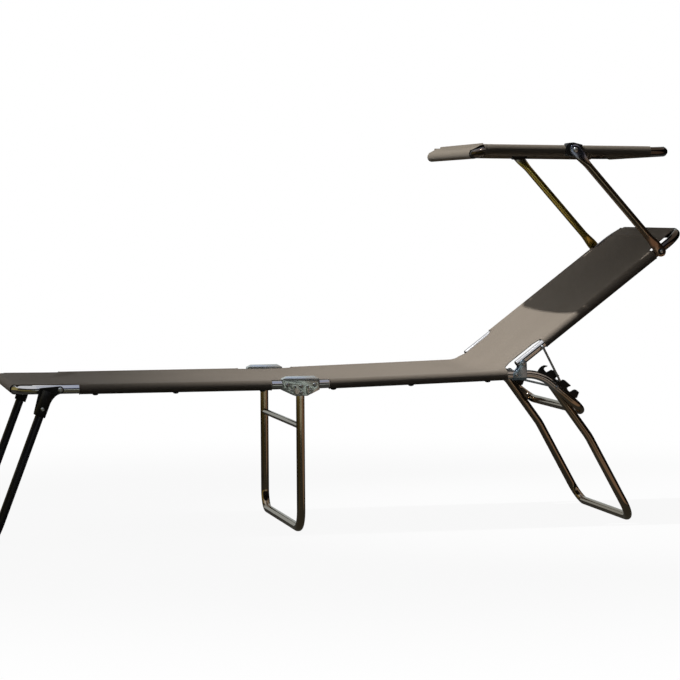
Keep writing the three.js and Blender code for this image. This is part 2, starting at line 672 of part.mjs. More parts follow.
// Seat section: side tubes that run on into the tail, which the rear leg leans on
function seatSection() {
  const group = section(seatBase, seatRise);
  const tail = inclined(at(tailKneeReach, 0), -tailDrop);
  const side = [{ place: at(hingePivotReach - tubeEndPast, 0) },
    { place: at(tailKneeReach, 0), bend: tailKneeBend }, { place: tail(tailLength, 0) }];
  const path = uShape(side, halfSpan, tailCornerBend);
  const reach = halfSpan + 2 * tubeRadius;
  const screwPlace = tail(axleReach + rackScrewReach, 0);
  const plateRivetPlace = at(backPivotReach - plateFront * 0.7, 0);
  const screwAngle = -tailDrop;

  const screwBore = (radius, y) => {
    const length = rackTop * 2;
    const round = new THREE.CylinderGeometry(radius, radius, length, pinSides).translate(0, length / 2, 0);
    round.rotateX(Math.PI / 2).rotateY(-screwAngle * deg);
    return solid(round.translate(screwPlace.x, y, screwPlace.y));
  };
  const tube = cut(
    solid(sweep(path, tubeRadius, { bore })),
    drillAlongY(rivetRadius + pinPlay, at(hingePivotReach, 0), -reach, reach),
    drillAlongY(wireRadius + pinPlay, tail(axleReach, 0), -reach, reach),
    drillAlongY(smallRivet + pinPlay, plateRivetPlace, -reach, reach),
    screwBore(smallRivet + pinPlay, -halfSpan),
    screwBore(smallRivet + pinPlay, halfSpan),
  );
  add(group, 'seat_frame_tube', tube, 'tube');

  const dip = () => -slingSag;
  const level = tubeClear + clothThickness / 2;
  const cloth = cut(
    join(clothSheet(slingGap, seatClothEnd, halfSpan, level, dip), ...sleeves(hingeCutout, seatSleeveEnd, 0)),
    solid(sweep(path, tubeClear)),
    ...cutouts(-overrun, hingeCutout, cutoutEdge, 0),
    ...cutouts(seatSleeveEnd, seatClothEnd + overrun, cutoutEdge, 0),
  );
  add(group, 'seat_sling', cloth, 'cloth');

  // Hinge plate: a strap bent round the tube, with an ear on each side of the backrest tube
  const inside = tubeCorner + gap;
  const outside = inside + plateWall;
  const outline = new THREE.Shape();
  outline.moveTo(backPivotReach - plateFront, -outside - overrun);
  outline.lineTo(backPivotReach + plateEar, -outside - overrun);
  outline.lineTo(backPivotReach + plateEar, backPivotRise);
  outline.absarc(backPivotReach, backPivotRise, plateEar, 0, Math.PI, false);
  outline.quadraticCurveTo(backPivotReach - plateEar, plateShoulder + plateEar / 2,
    backPivotReach - plateFront, plateShoulder);
  outline.closePath();
  const ears = plateAlongY(outline, -halfSpan - outside - overrun, -halfSpan + outside + overrun);
  const strapShape = (half) => {
    const shape = new THREE.Shape();
    shape.moveTo(half, backPivotRise * 2);
    shape.lineTo(-half, backPivotRise * 2);
    shape.lineTo(-half, 0);
    shape.absarc(0, 0, half, Math.PI, 2 * Math.PI, false);
    shape.closePath();
    return shape;
  };
  const strapAlongX = (half) => {
    const length = backPivotReach * 2;
    const bar = new THREE.ExtrudeGeometry(strapShape(half), {
      depth: length, bevelEnabled: false, curveSegments: tubeSides / 2,
    });
    return solid(bar.rotateX(Math.PI / 2).rotateZ(Math.PI / 2).translate(0, -halfSpan, 0));
  };
  const roundInside = inside / Math.cos(Math.PI / tubeSides);
  const plate = cut(ears.intersect(strapAlongX(outside)), strapAlongX(roundInside),
    drillAlongY(rivetRadius + pinPlay, at(backPivotReach, backPivotRise), -reach - outside, 0),
    drillAlongY(smallRivet + pinPlay, plateRivetPlace, -reach - outside, 0));
  addPair(group, 'back_hinge_plate', plate, 'zinc');

  const faceNear = -halfSpan - outside - gap;
  const faceFar = -halfSpan + outside + gap;
  const pivotRivet = pinAlongY(rivetProfile(rivetRadius, rivetHead, rivetCap, faceNear, faceFar));
  addPair(group, 'back_pivot_rivet', pivotRivet.translate(backPivotReach, 0, backPivotRise), 'rivet');
  const holdRivet = pinAlongY(rivetProfile(smallRivet, smallHead, rivetCap, faceNear, faceFar));
  addPair(group, 'hinge_plate_rivet', holdRivet.translate(plateRivetPlace.x, 0, plateRivetPlace.y), 'rivet');

  // Axle: one rod through both tail tubes and the rear leg, with a cap at each end
  const axleEnd = halfSpan + tubeCorner + gap;
  const axle = pinAlongY(rivetProfile(wireRadius, rivetHead, rivetCap, -axleEnd, axleEnd));
  const axleHere = tail(axleReach, 0);
  add(group, 'rear_leg_axle', axle.translate(axleHere.x, 0, axleHere.y), 'wire');

  addPair(group, 'prop_rack', rack(tail, path, screwBore(smallRivet + pinPlay, -halfSpan),
    screwBore(smallHead + pinPlay, -halfSpan), tail(axleReach + rackScrewReach, 0)), 'plastic');

  const seat = tubeRadius + rackSeat;
  const rackPin = pinAlongY([[0, bore / 2], [smallRivet, bore / 2], [smallRivet, seat + gap],
    [smallHead, seat + gap], [smallHead, seat + rivetCap * 0.7], [0, seat + rivetCap]]);
  rackPin.rotateX(Math.PI / 2).rotateY(-screwAngle * deg);
  addPair(group, 'rack_rivet', rackPin.translate(screwPlace.x, -halfSpan, screwPlace.y), 'rivet');
}

// Rack: hooked teeth on a saddle, with a rivet sunk between the two lower notches
function rack(tail, tubePath, shankBore, headBore, screwPlace) {
  const place = (u, n) => tail(axleReach + u, n);
  const low = tubeRadius * 0.6;
  const wireLine = propFoot.clone().sub(propPivot);
  const wireAngle = Math.atan2(wireLine.y, wireLine.x) - (seatRise - tailDrop) * deg;
  const lean = Math.max(0, -Math.tan(wireAngle));
  const room = wireRadius + pinPlay;
  const floor = notchStand - room;
  const tall = rackTop - floor;
  const points = [place(rackStart, -low * 0.4), place(rackStart - low * 0.2, low * 1.8),
    place(rackStart, rackTop * 0.68), place(rackStart + low * 0.5, rackTop * 0.88)];
  for (let k = 0; k < notchCount; k += 1) {
    const u = notchReach + k * notchPitch;
    for (const [reachShare, riseShare] of hookShares) {
      points.push(place(u + notchPitch * reachShare, floor + tall * riseShare));
    }
    points.push(place(u + room * 0.4, floor), place(u + room, floor + room * 0.6),
      place(u + room + (tall - room * 0.6) * lean, rackTop - gap),
      place(u + room * 1.5 + tall * lean, rackTop + gap));
  }
  points.push(place(rackEnd - low * 0.3, rackTop + gap), place(rackEnd, rackTop * 0.85),
    place(rackEnd + low * 0.5, low * 2), place(rackEnd - low * 0.4, low));
  points.push(place(0, low), place(rackStart * 0.45, low * 0.8));
  const body = plateAlongY(outlineOf(points), -halfSpan - rackWidth / 2, -halfSpan + rackWidth / 2);
  const deep = inclined(screwPlace, seatRise - tailDrop)(0, tubeRadius + rackSeat);
  const keep = new THREE.BoxGeometry(rackTop, rackTop * 2, rackTop).translate(0, 0, -rackTop / 2);
  keep.rotateY(tailDrop * deg).translate(deep.x, -halfSpan, deep.y);
  return cut(body, solid(sweep(tubePath, tubeClear)), shankBore, cut(headBore, solid(keep)));
}

// Backrest: a U of tube on the two hinge plates, plugged at its lower ends
function backrest() {
  const group = section(backPivot, backAngle);
  const side = [{ place: at(-backTail, backAxisOffset) }, { place: at(backLength, backAxisOffset) }];
  const path = uShape(side, halfSpan, frameBend);
  const reach = halfSpan + 2 * tubeRadius;
  const tube = cut(
    solid(sweep(path, tubeRadius, { bore })),
    drillAlongY(rivetRadius + pinPlay, at(0, 0), -reach, reach),
    drillAlongY(wireRadius + pinPlay, at(propReach, backAxisOffset), -reach, -halfSpan),
    drillAlongY(wireRadius + pinPlay, at(propReach, backAxisOffset), halfSpan, reach),
    drillAlongY(boltRadius + pinPlay, at(postReach, backAxisOffset), -reach, reach),
  );
  add(group, 'back_frame_tube', tube, 'tube');

  // Plug: a cap on the cut end, with a spigot that stops short of the pivot rivet
  const spigot = bore * boreShare - gap;
  const plug = pinAlongY([[0, -tubeWall - gap], [tubeRadius * 0.8, -tubeWall - gap], [tubeRadius, -gap * 2],
    [tubeRadius, -gap], [spigot, -gap], [spigot, backTail - rivetRadius - gap * 2],
    [0, backTail - rivetRadius - gap * 2]]);
  plug.rotateZ(-Math.PI / 2).translate(-backTail, -halfSpan, backAxisOffset);
  addPair(group, 'back_end_plug', plug, 'plastic');

  const dip = (x) => -slingSag * ease((backLength - x) / slingEase);
  const level = backAxisOffset + tubeClear + clothThickness / 2;
  const cloth = cut(
    join(clothSheet(backClothStart, backLength, halfSpan, level, dip),
      ...sleeves(backSleeveStart, backSleeveEnd, backAxisOffset), hem(backLength, backAxisOffset, hemReach)),
    solid(sweep(path, tubeClear)),
    ...cutouts(backClothStart - overrun, backSleeveStart, cutoutEdge, backAxisOffset),
    ...cutouts(backSleeveEnd, backLength + sleeveRadius + overrun, headCutoutEdge, backAxisOffset),
  );
  add(group, 'back_sling', cloth, 'cloth');

  // Shoulder bolt: its collar spaces the post from the tube
  const collar = -(halfSpan + tubeCorner + gap);
  const postFace = -(postSpan - postFlatHalf - gap);
  const postOut = -(postSpan + postFlatHalf + gap);
  const bolt = pinAlongY([[0, postOut - boltCap], [boltHead, postOut - boltCap],
    [postWasher, postOut - boltCap / 2], [postWasher, postOut], [boltRadius, postOut],
    [boltRadius, postFace], [postWasher, postFace], [postWasher, collar], [boltRadius, collar],
    [boltRadius, -halfSpan + bore / 2], [0, -halfSpan + bore / 2]]);
  addPair(group, 'post_pivot_bolt', bolt.translate(postReach, 0, backAxisOffset), 'plastic');
}

// Prop: one bent wire from the backrest tubes down into both racks
function prop() {
  const group = section(propPivot, 0);
  const foot = propFoot.clone().sub(propPivot);
  const ends = halfSpan + tubeRadius - wirePast;
  const near = [corner(0, -ends, 0), corner(0, -wireSpan, 0), corner(foot.x, -wireSpan, foot.y)];
  const far = near.map((point) => corner(point.x, -point.y, point.z)).reverse();
  const path = [...near, ...far].map((point) => ({ point, bend: wireBend }));
  add(group, 'prop_wire', sweep(path, wireRadius, { sides: thinSides }), 'wire');
}

// Rear leg: a kneed U between the tails, with a bush on each side of the axle
function rearLeg() {
  const group = section(axlePlace, 0);
  const inset = halfSpan - rearLegSpan;
  const shortfall = tailCornerBend - Math.sqrt(tailCornerBend ** 2 - (tailCornerBend - inset) ** 2);
  const barReach = tailLength - axleReach - shortfall;
  const mitred = tubeCorner / Math.cos((bendStep / 2) * deg);
  const lean = Math.asin((tubeCorner + mitred + gap) / barReach) / deg;
  const onLeg = inclined(at(0, 0), seatRise - tailDrop - lean);
  const floorPlace = at(rearFootReach, tubeRadius).sub(axlePlace);
  const side = [{ place: onLeg(-rearLegPast, 0) }, { place: onLeg(rearKneeReach, 0), bend: rearKneeBend },
    { place: floorPlace }];
  const reach = rearLegSpan + 2 * tubeRadius;
  const tube = cut(solid(sweep(uShape(side, rearLegSpan, legBend), tubeRadius, { bore, floor: true })),
    drillAlongY(wireRadius + pinPlay, at(0, 0), -reach, reach));
  add(group, 'rear_leg_tube', tube, 'tube');

  const from = -(halfSpan - tubeCorner - gap);
  const to = -(rearLegSpan + tubeCorner + gap);
  const hole = wireRadius + pinPlay;
  const bush = pinAlongY([[hole, from], [bushRadius, from], [bushRadius, to], [hole, to], [hole, from]]);
  addPair(group, 'rear_leg_bush', bush, 'plastic');
}

// Posts: round tubes pressed flat and wide at both ends
function posts() {
  const group = section(postPivot, postAngle);
  const endReach = postFlatHalfWidth * 0.97;
  const roundShares = [0.97, 0.6];
  const taperShares = [0, 0.5, 1];
  const stops = [
    ...roundShares.map((share) => -postFlatHalfWidth * share),
    ...taperShares.map((share) => postFlatHalfWidth + postTaper * share),
  ];
  const along = [...stops, ...stops.map((stop) => postLength - stop).reverse()];
  const path = along.map((x) => ({ point: corner(x, 0, 0), bend: 0 }));
  const line = new BentPath([path[0], path[path.length - 1]]);
  line.stations = path.map((stop) => stop.point);
  const shape = polygon(postRadius, tubeSides, 0, new THREE.Shape());
  shape.holes.push(polygon((postRadius - postWall) * boreShare, boreSides, 0, new THREE.Path()));
  const post = new THREE.ExtrudeGeometry(shape, {
    steps: along.length - 1, extrudePath: line, bevelEnabled: false,
  });
  const place = post.getAttribute('position');
  for (let n = 0; n < place.count; n += 1) {
    const x = place.getX(n);
    const past = Math.max(-x, x - postLength, 0);
    const inward = Math.min(x, postLength - x);
    const share = ease((inward - postFlatHalfWidth) / postTaper);
    const round = Math.sqrt(Math.max(postFlatHalfWidth ** 2 - Math.min(past, endReach) ** 2, 0));
    const wide = (round + (postRadius - round) * share) / postRadius;
    const thick = (postFlatHalf + (postRadius - postFlatHalf) * share) / postRadius;
    place.setZ(n, place.getZ(n) * wide);
    place.setY(n, place.getY(n) * thick);
  }
  const holes = [0, postLength].map((x) => drillAlongY(boltRadius + pinPlay, at(x, 0), -postRadius, postRadius));
  const body = cut(solid(post), ...holes);
  addPair(group, 'canopy_post', geometryOf(body).translate(0, -postSpan, 0), 'tube');
}

// Canopy: two half frames held in the joint blocks, with the cloth on sleeves and hems
function canopy() {
  const group = section(canopyPivot, -canopyTilt);
  const front = [{ place: at(-canopyTubeEnd, 0) },
    { place: at(canopyFrontCrank - canopyReach, 0), bend: canopyCrankBend },
    { place: at(-canopyReach, -canopyFrontDrop) }];
  const rear = [{ place: at(canopyTubeEnd, 0) }, { place: at(canopyReach, 0) }];
  const frontPath = uShape(front, halfSpan, canopyBend);
  const rearPath = uShape(rear, halfSpan, canopyBend);
  add(group, 'canopy_frame_foot_side', sweep(frontPath, tubeRadius, { bore }), 'tube');
  add(group, 'canopy_frame_head_side', sweep(rearPath, tubeRadius, { bore }), 'tube');

  // Joint block: a faceted moulding round the meeting tube ends
  const outline = outlineOf(blockCornerShares.map(([x, z]) => at(x * blockHalfLength,
    z * (z > 0 ? blockRise : blockFall))));
  const blockIn = -(halfSpan - tubeCorner - gap - blockWall);
  const blockOut = -(halfSpan + tubeCorner + gap + blockWall);
  const throughTube = [{ point: corner(-blockHalfLength * 2, -halfSpan, 0) },
    { point: corner(blockHalfLength * 2, -halfSpan, 0) }];
  const block = cut(plateAlongY(outline, blockOut, blockIn), solid(sweep(throughTube, tubeClear)),
    drillAlongY(boltRadius + pinPlay, at(0, 0), blockOut - overrun, -halfSpan - tubeRadius / 2));
  addPair(group, 'canopy_joint_block', block, 'plastic');

  const postOut = -(postSpan + postFlatHalf + gap);
  const postIn = -(postSpan - postFlatHalf - gap);
  const seatedTo = -(halfSpan + tubeCorner + gap);
  const bolt = pinAlongY([[0, postOut - boltCap], [boltHead * domeShare, postOut - boltCap],
    [boltHead, postOut - boltCap / 3], [boltHead, postOut], [boltRadius, postOut], [boltRadius, postIn],
    [postWasher, postIn], [postWasher, blockOut - gap], [boltRadius, blockOut - gap],
    [boltRadius, seatedTo], [0, seatedTo]]);
  addPair(group, 'canopy_pivot_bolt', bolt, 'rivet');

  const frontLevel = (x) => -canopyFrontDrop * Math.min(Math.max((-x - canopyReach + canopyFrontCrank)
    / canopyFrontCrank, 0), 1);
  const sheet = new THREE.BoxGeometry(2 * canopyReach, 2 * halfSpan, clothThickness, canopyRows,
    sheetColumns, 1);
  const place = sheet.getAttribute('position');
  for (let n = 0; n < place.count; n += 1) {
    const x = place.getX(n);
    const y = place.getY(n) / halfSpan;
    const along = (x / canopyReach) ** 4;
    place.setZ(n, place.getZ(n) + frontLevel(x) - canopySag * (1 - y * y) * (1 - along));
  }
  const blockEnd = blockHalfLength + gap * 2;
  const frontEnd = -canopySleeveFoot;
  const cloth = cut(
    join(solid(sheet), solid(sweep(frontPath, sleeveRadius)), solid(sweep(rearPath, sleeveRadius))),
    solid(sweep(frontPath, tubeClear)),
    solid(sweep(rearPath, tubeClear)),
    ...cutouts(-blockEnd, blockEnd, -blockIn - gap * 2, 0),
    ...cutouts(-canopyReach - sleeveRadius - overrun, frontEnd, headCutoutEdge, -canopyFrontDrop),
    ...cutouts(canopySleeveHead, canopyReach + sleeveRadius + overrun, headCutoutEdge, 0),
  );
  add(group, 'canopy_cloth', cloth, 'cloth');
}

footSection();
footLeg();
middleHinge();
seatSection();
backrest();
prop();
rearLeg();
posts();
canopy();

// The origin is the middle of the footprint of the whole lounger, on the floor
lounger.updateMatrixWorld(true);
const whole = new THREE.Box3().setFromObject(lounger, true);
const model = new THREE.Group();
lounger.position.set(-(whole.min.x + whole.max.x) / 2, -(whole.min.y + whole.max.y) / 2, -whole.min.z);
model.add(lounger);
model.updateMatrixWorld(true);

export default model;
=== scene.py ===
import json
import math

import bmesh
import bpy
import numpy as np
from mathutils import Matrix, Vector

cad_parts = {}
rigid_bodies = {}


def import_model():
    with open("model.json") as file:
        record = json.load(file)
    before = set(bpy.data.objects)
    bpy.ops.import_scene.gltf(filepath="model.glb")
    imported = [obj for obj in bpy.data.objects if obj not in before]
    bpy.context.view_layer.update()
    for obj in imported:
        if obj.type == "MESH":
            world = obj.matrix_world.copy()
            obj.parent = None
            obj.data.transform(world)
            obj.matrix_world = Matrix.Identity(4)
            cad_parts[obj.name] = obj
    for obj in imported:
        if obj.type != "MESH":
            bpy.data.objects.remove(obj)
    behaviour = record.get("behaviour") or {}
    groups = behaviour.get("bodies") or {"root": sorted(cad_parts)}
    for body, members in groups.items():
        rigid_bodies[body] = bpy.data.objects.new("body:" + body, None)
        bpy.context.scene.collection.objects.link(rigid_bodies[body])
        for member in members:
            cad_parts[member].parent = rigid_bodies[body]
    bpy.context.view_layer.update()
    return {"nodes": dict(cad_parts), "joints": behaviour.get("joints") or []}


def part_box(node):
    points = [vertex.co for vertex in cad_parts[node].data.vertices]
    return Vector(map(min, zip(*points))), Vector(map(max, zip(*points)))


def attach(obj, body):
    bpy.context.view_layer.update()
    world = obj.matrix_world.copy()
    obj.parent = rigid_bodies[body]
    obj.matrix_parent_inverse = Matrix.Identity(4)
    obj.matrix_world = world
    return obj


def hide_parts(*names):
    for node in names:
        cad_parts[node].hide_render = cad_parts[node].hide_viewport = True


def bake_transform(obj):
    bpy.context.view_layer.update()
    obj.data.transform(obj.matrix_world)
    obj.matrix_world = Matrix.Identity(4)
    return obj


for spare in list(bpy.data.objects):
    bpy.data.objects.remove(spare)
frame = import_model()
scene = bpy.context.scene
nodes = frame["nodes"]
pieces = {}

# Measures that several pieces share, in metres and degrees: the tubes under the cloth, and the canopy
rail = dict(tube=0.011, wall=0.0015, halfSpan=0.2675, bend=0.050, footReach=0.727, seatRise=1.55,
            kneeReach=0.6384, kneeBend=0.100, tailDrop=41.55, tailLength=0.1579, tailBend=0.048,
            axleReach=0.0568, backAngle=37.2, backOffset=0.0055, backTail=0.0125, backLength=0.5493,
            tubeEnd=0.0225)
shade = dict(reach=0.257, tilt=0.87, bend=0.032, drop=0.012, crank=0.036, crankBend=0.020, tubeEnd=0.003,
             block=0.0226)


def unit(v):
    return v / np.linalg.norm(v)


def easeIn(x):
    # t * t * (3 - 2 * t), where t is x held between 0 and 1
    t = np.clip(x, 0, 1)
    return t * t * (3 - 2 * t)


def inclined(origin, angle):
    # a place u along and n above a line through origin at angle degrees, in the side view
    along = np.array([math.cos(math.radians(angle)), math.sin(math.radians(angle))])
    above = np.array([-along[1], along[0]])
    return lambda u, n: np.asarray(origin) + np.multiply.outer(u, along) + np.multiply.outer(n, above)


# Places in the side view: x along the lounger, z up
pivots = {joint["name"]: np.array(joint["pos_m"])[[0, 2]] for joint in frame["joints"]}
foldFoot = pivots["foot_section_fold"]
foldSeat = pivots["middle_bracket_fold"]
footPivot = pivots["foot_leg_fold"]
axlePlace = pivots["rear_leg_fold"]
propPivot = pivots["prop_swing"]
postPivot = pivots["canopy_post_pivot"]
canopyPivot = pivots["canopy_tilt"]
middle = (foldFoot + foldSeat) / 2

# Each section's own line
onFoot = inclined(middle, 0)
seatStart = inclined(foldSeat, rail["seatRise"])(middle[0] - foldSeat[0], 0)
onSeat = inclined(seatStart, rail["seatRise"])
tailAngle = rail["seatRise"] - rail["tailDrop"]
onTail = inclined(onSeat(rail["kneeReach"], 0), tailAngle)
backStart = inclined(pivots["backrest_fold"], rail["backAngle"])(0, rail["backOffset"])
onBack = inclined(backStart, rail["backAngle"])
onCanopy = inclined(canopyPivot, -shade["tilt"])


# Shader maths
class Value:
    # wraps a socket, so that sums and products of values add their Math nodes
    def __init__(self, finish, socket):
        self.finish, self.socket = finish, socket

    def maths(self, operation, first, second=0.0, clamp=False):
        made = self.finish.node("ShaderNodeMath", {"operation": operation, "use_clamp": clamp},
                                {0: first, 1: second})
        return Value(self.finish, made.outputs[0])

    def __add__(self, other):
        return self.maths("ADD", self, other)

    def __radd__(self, other):
        return self.maths("ADD", other, self)

    def __sub__(self, other):
        return self.maths("SUBTRACT", self, other)

    def __rsub__(self, other):
        return self.maths("SUBTRACT", other, self)

    def __mul__(self, other):
        return self.maths("MULTIPLY", self, other)

    def __rmul__(self, other):
        return self.maths("MULTIPLY", other, self)

    def sine(self):
        return self.maths("SINE", self)

    def absolute(self):
        return self.maths("ABSOLUTE", self)

    def above(self, edge):
        return self.maths("GREATER_THAN", self, edge)

    def below(self, edge):
        return self.maths("LESS_THAN", self, edge)

    def held(self):
        return self.maths("ADD", self, 0.0, clamp=True)

    def past(self, edge, soft):
        # 0 up to the edge, rising to 1 over the soft width beyond it
        return ((self - edge) * (1 / soft)).held()

    def short(self, edge, soft):
        # 0 from the edge on, rising to 1 over the soft width before it
        return ((edge - self) * (1 / soft)).held()


class Finish:
    # a material, or the world, under construction
    def __init__(self, name, tree=None):
        if tree is None:
            self.material = bpy.data.materials.new(name)
            self.material.use_nodes = True
            tree = self.material.node_tree
        self.tree = tree
        self.tree.nodes.clear()

    def node(self, kind, settings=None, sockets=None):
        made = self.tree.nodes.new(kind)
        for key, value in (settings or {}).items():
            if key == "stops":
                self.setStops(made.color_ramp.elements, value)
            else:
                setattr(made, key, value)
        for key, value in (sockets or {}).items():
            self.feed(made.inputs[key], value)
        return made

    def setStops(self, ramp, stops):
        while len(ramp) < len(stops):
            ramp.new(0.5)
        for stop, (place, colour) in zip(ramp, stops):
            stop.position, stop.color = place, (*colour, 1)

    def feed(self, socket, value):
        if isinstance(value, Value):
            self.tree.links.new(value.socket, socket)
        else:
            socket.default_value = value

    def out(self, made, key=0):
        return Value(self, made.outputs[key])

    def parts(self, vector):
        made = self.node("ShaderNodeSeparateXYZ", None, {0: vector})
        return [self.out(made, axis) for axis in "XYZ"]

    def place(self):
        return self.out(self.node("ShaderNodeTexCoord"), "Object")

    def stretched(self, scale):
        return self.out(self.node("ShaderNodeMapping", None, {"Vector": self.place(), "Scale": scale}))

    def noise(self, scale, detail, vector=None, rough=0.5):
        made = self.node("ShaderNodeTexNoise", None, {"Vector": vector or self.place(), "Scale": scale,
                                                      "Detail": detail, "Roughness": rough})
        return self.out(made, "Fac")

    def mix(self, factor, first, second):
        # a Mix node has a socket of each name for every kind of value
        made = self.node("ShaderNodeMix", {"data_type": "RGBA"})
        for key, kind, value in (("Factor", "VALUE", factor), ("A", "RGBA", first), ("B", "RGBA", second)):
            socket = next(s for s in made.inputs if (s.name, s.type) == (key, kind))
            self.feed(socket, (*value, 1) if isinstance(value, tuple) else value)
        return Value(self, next(s for s in made.outputs if s.type == "RGBA"))

    def bump(self, height, distance, strength):
        sockets = {"Height": height, "Distance": distance, "Strength": strength}
        return self.out(self.node("ShaderNodeBump", None, sockets))

    def ramp(self, value, stops):
        return self.out(self.node("ShaderNodeValToRGB", {"stops": stops}, {0: value}))

    def blended(self, factor, first, second):
        return self.out(self.node("ShaderNodeMixShader", None, {0: factor, 1: first, 2: second}))

    def finished(self, shader):
        self.node("ShaderNodeOutputMaterial", None, {"Surface": shader})
        return self.material

    def surface(self, sockets):
        return self.finished(self.out(self.node("ShaderNodeBsdfPrincipled", None, sockets)))


def linear(*levels):
    # a colour given from 0 to 255, as the shader wants it
    share = np.array(levels) / 255
    steep = ((share + 0.055) / 1.055) ** 2.4
    return tuple(np.where(share <= 0.04045, share / 12.92, steep).tolist())


# Finishes
def makeTubeFinish():
    # bright plating at the bed's height; browner below it as painted reflection, dark high above it as
    # painted shade
    # the high tone is painted shade and the low tone painted reflection, not the plating's own colour
    tone = dict(bed=((186, 183, 182), (212, 211, 212)), low=((142, 126, 106), (168, 152, 132)),
                high=((62, 54, 49), (92, 82, 74)), highFrom=0.60, highSoft=1 / 9, lowUnder=0.365,
                lowSoft=1 / 50, streak=(0.25, 0.25, 0.25))
    look = Finish("champagneTube")
    cloud, worn = look.noise(9, 2), look.noise(420, 3)
    streak = look.noise(60, 4, look.stretched(tone["streak"]), rough=0.6)
    spread = (cloud * 0.7 + streak * 0.3).held()
    height = look.parts(look.place())[2]
    # masks for the painted shade on the tubes high up and the painted reflection on the tubes low down
    high = height.past(tone["highFrom"], tone["highSoft"])
    low = height.short(tone["lowUnder"], tone["lowSoft"])
    bedTone, paintedReflectionTone, paintedShadeTone = (look.mix(spread, linear(*dark), linear(*light))
                                  for dark, light in (tone["bed"], tone["low"], tone["high"]))
    return look.surface({"Base Color": look.mix(high, look.mix(low, bedTone, paintedReflectionTone), paintedShadeTone),
                         "Metallic": 0.92, "Roughness": streak * 0.07 + 0.06, "Coat Weight": 0.2,
                         "Coat Roughness": 0.06, "Normal": look.bump(worn, distance=0.00003, strength=0.4)})


def makePostFinish():
    # dark bronze on the near post; the olive of the far post, the browner foot and the bluish upper end,
    # which is pressed flat, are painted reflection
    tone = dict(nearDark=linear(112, 98, 80), nearLight=linear(138, 122, 102), foot=linear(146, 120, 100),
                farDark=linear(176, 156, 72), farLight=linear(206, 186, 92), bare=linear(128, 134, 158),
                bareFrom=0.955, bareSoft=1 / 60, footUnder=0.80, footSoft=1 / 14, sideSoft=1 / 20)
    look = Finish("bronzeTube")
    cloud, worn = look.noise(12, 3), look.noise(420, 3)
    _, across, height = look.parts(look.place())
    # painted reflection: bluish on the flat upper end, browner towards the foot and olive on the far post
    end = height.past(tone["bareFrom"], tone["bareSoft"])
    foot = height.short(tone["footUnder"], tone["footSoft"])
    near = look.mix(foot, look.mix(cloud, tone["nearDark"], tone["nearLight"]), tone["foot"])
    far = look.mix(cloud, tone["farDark"], tone["farLight"])
    colour = look.mix(end, look.mix(across.past(0, tone["sideSoft"]), near, far), tone["bare"])
    return look.surface({"Base Color": colour, "Metallic": 0.9, "Roughness": cloud * 0.12 + 0.14,
                         "Coat Weight": 0.5, "Coat Roughness": 0.08,
                         "Normal": look.bump(worn, distance=0.00003, strength=0.4)})


def makeZincFinish(name, dark, light):
    # pressed sheet with the flowers of hot zinc
    look = Finish(name)
    flowers = look.node("ShaderNodeTexVoronoi", {"feature": "F1"}, {"Vector": look.place(), "Scale": 190})
    spangle, cloud = look.out(flowers, "Distance"), look.noise(45, 4)
    relief = cloud * 0.6 + spangle * 0.4
    return look.surface({"Base Color": look.mix((spangle * 0.5 + cloud * 0.6).held(), light, dark),
                         "Metallic": 0.80, "Roughness": cloud * 0.20 + 0.16,
                         "Normal": look.bump(relief, distance=0.0002, strength=0.35)})


def makeRivetFinish():
    look = Finish("rivetMetal")
    cloud = look.noise(160, 4)
    return look.surface({"Base Color": look.mix(cloud, linear(140, 144, 146), linear(196, 200, 202)),
                         "Metallic": 0.95, "Roughness": cloud * 0.25 + 0.2,
                         "Normal": look.bump(cloud, distance=0.0001, strength=0.6)})


def makeBlackCoat():
    look = Finish("blackCoat")
    cloud, grain = look.noise(14, 3), look.noise(900, 2)
    return look.surface({"Base Color": look.mix(cloud, linear(15, 17, 26), linear(36, 42, 62)),
                         "Metallic": 0.45, "Roughness": cloud * 0.15 + 0.24, "Coat Weight": 0.3,
                         "Coat Roughness": 0.10,
                         "Normal": look.bump(grain, distance=0.00005, strength=0.5)})


def makePlasticFinish():
    look = Finish("blackPlastic")
    cloud, grain = look.noise(30, 3), look.noise(1500, 2)
    return look.surface({"Base Color": look.mix(cloud, linear(8, 8, 9), linear(18, 18, 19)),
                         "Roughness": cloud * 0.15 + 0.42, "Specular IOR Level": 0.3,
                         "Normal": look.bump(grain, distance=0.00008, strength=0.6)})


def makeWireFinish():
    look = Finish("brightWire")
    cloud, streak = look.noise(25, 3), look.noise(300, 3)
    return look.surface({"Base Color": look.mix(cloud, linear(128, 132, 136), linear(176, 180, 184)),
                         "Metallic": 0.95, "Roughness": streak * 0.2 + 0.22,
                         "Normal": look.bump(streak, distance=0.00005, strength=0.5)})


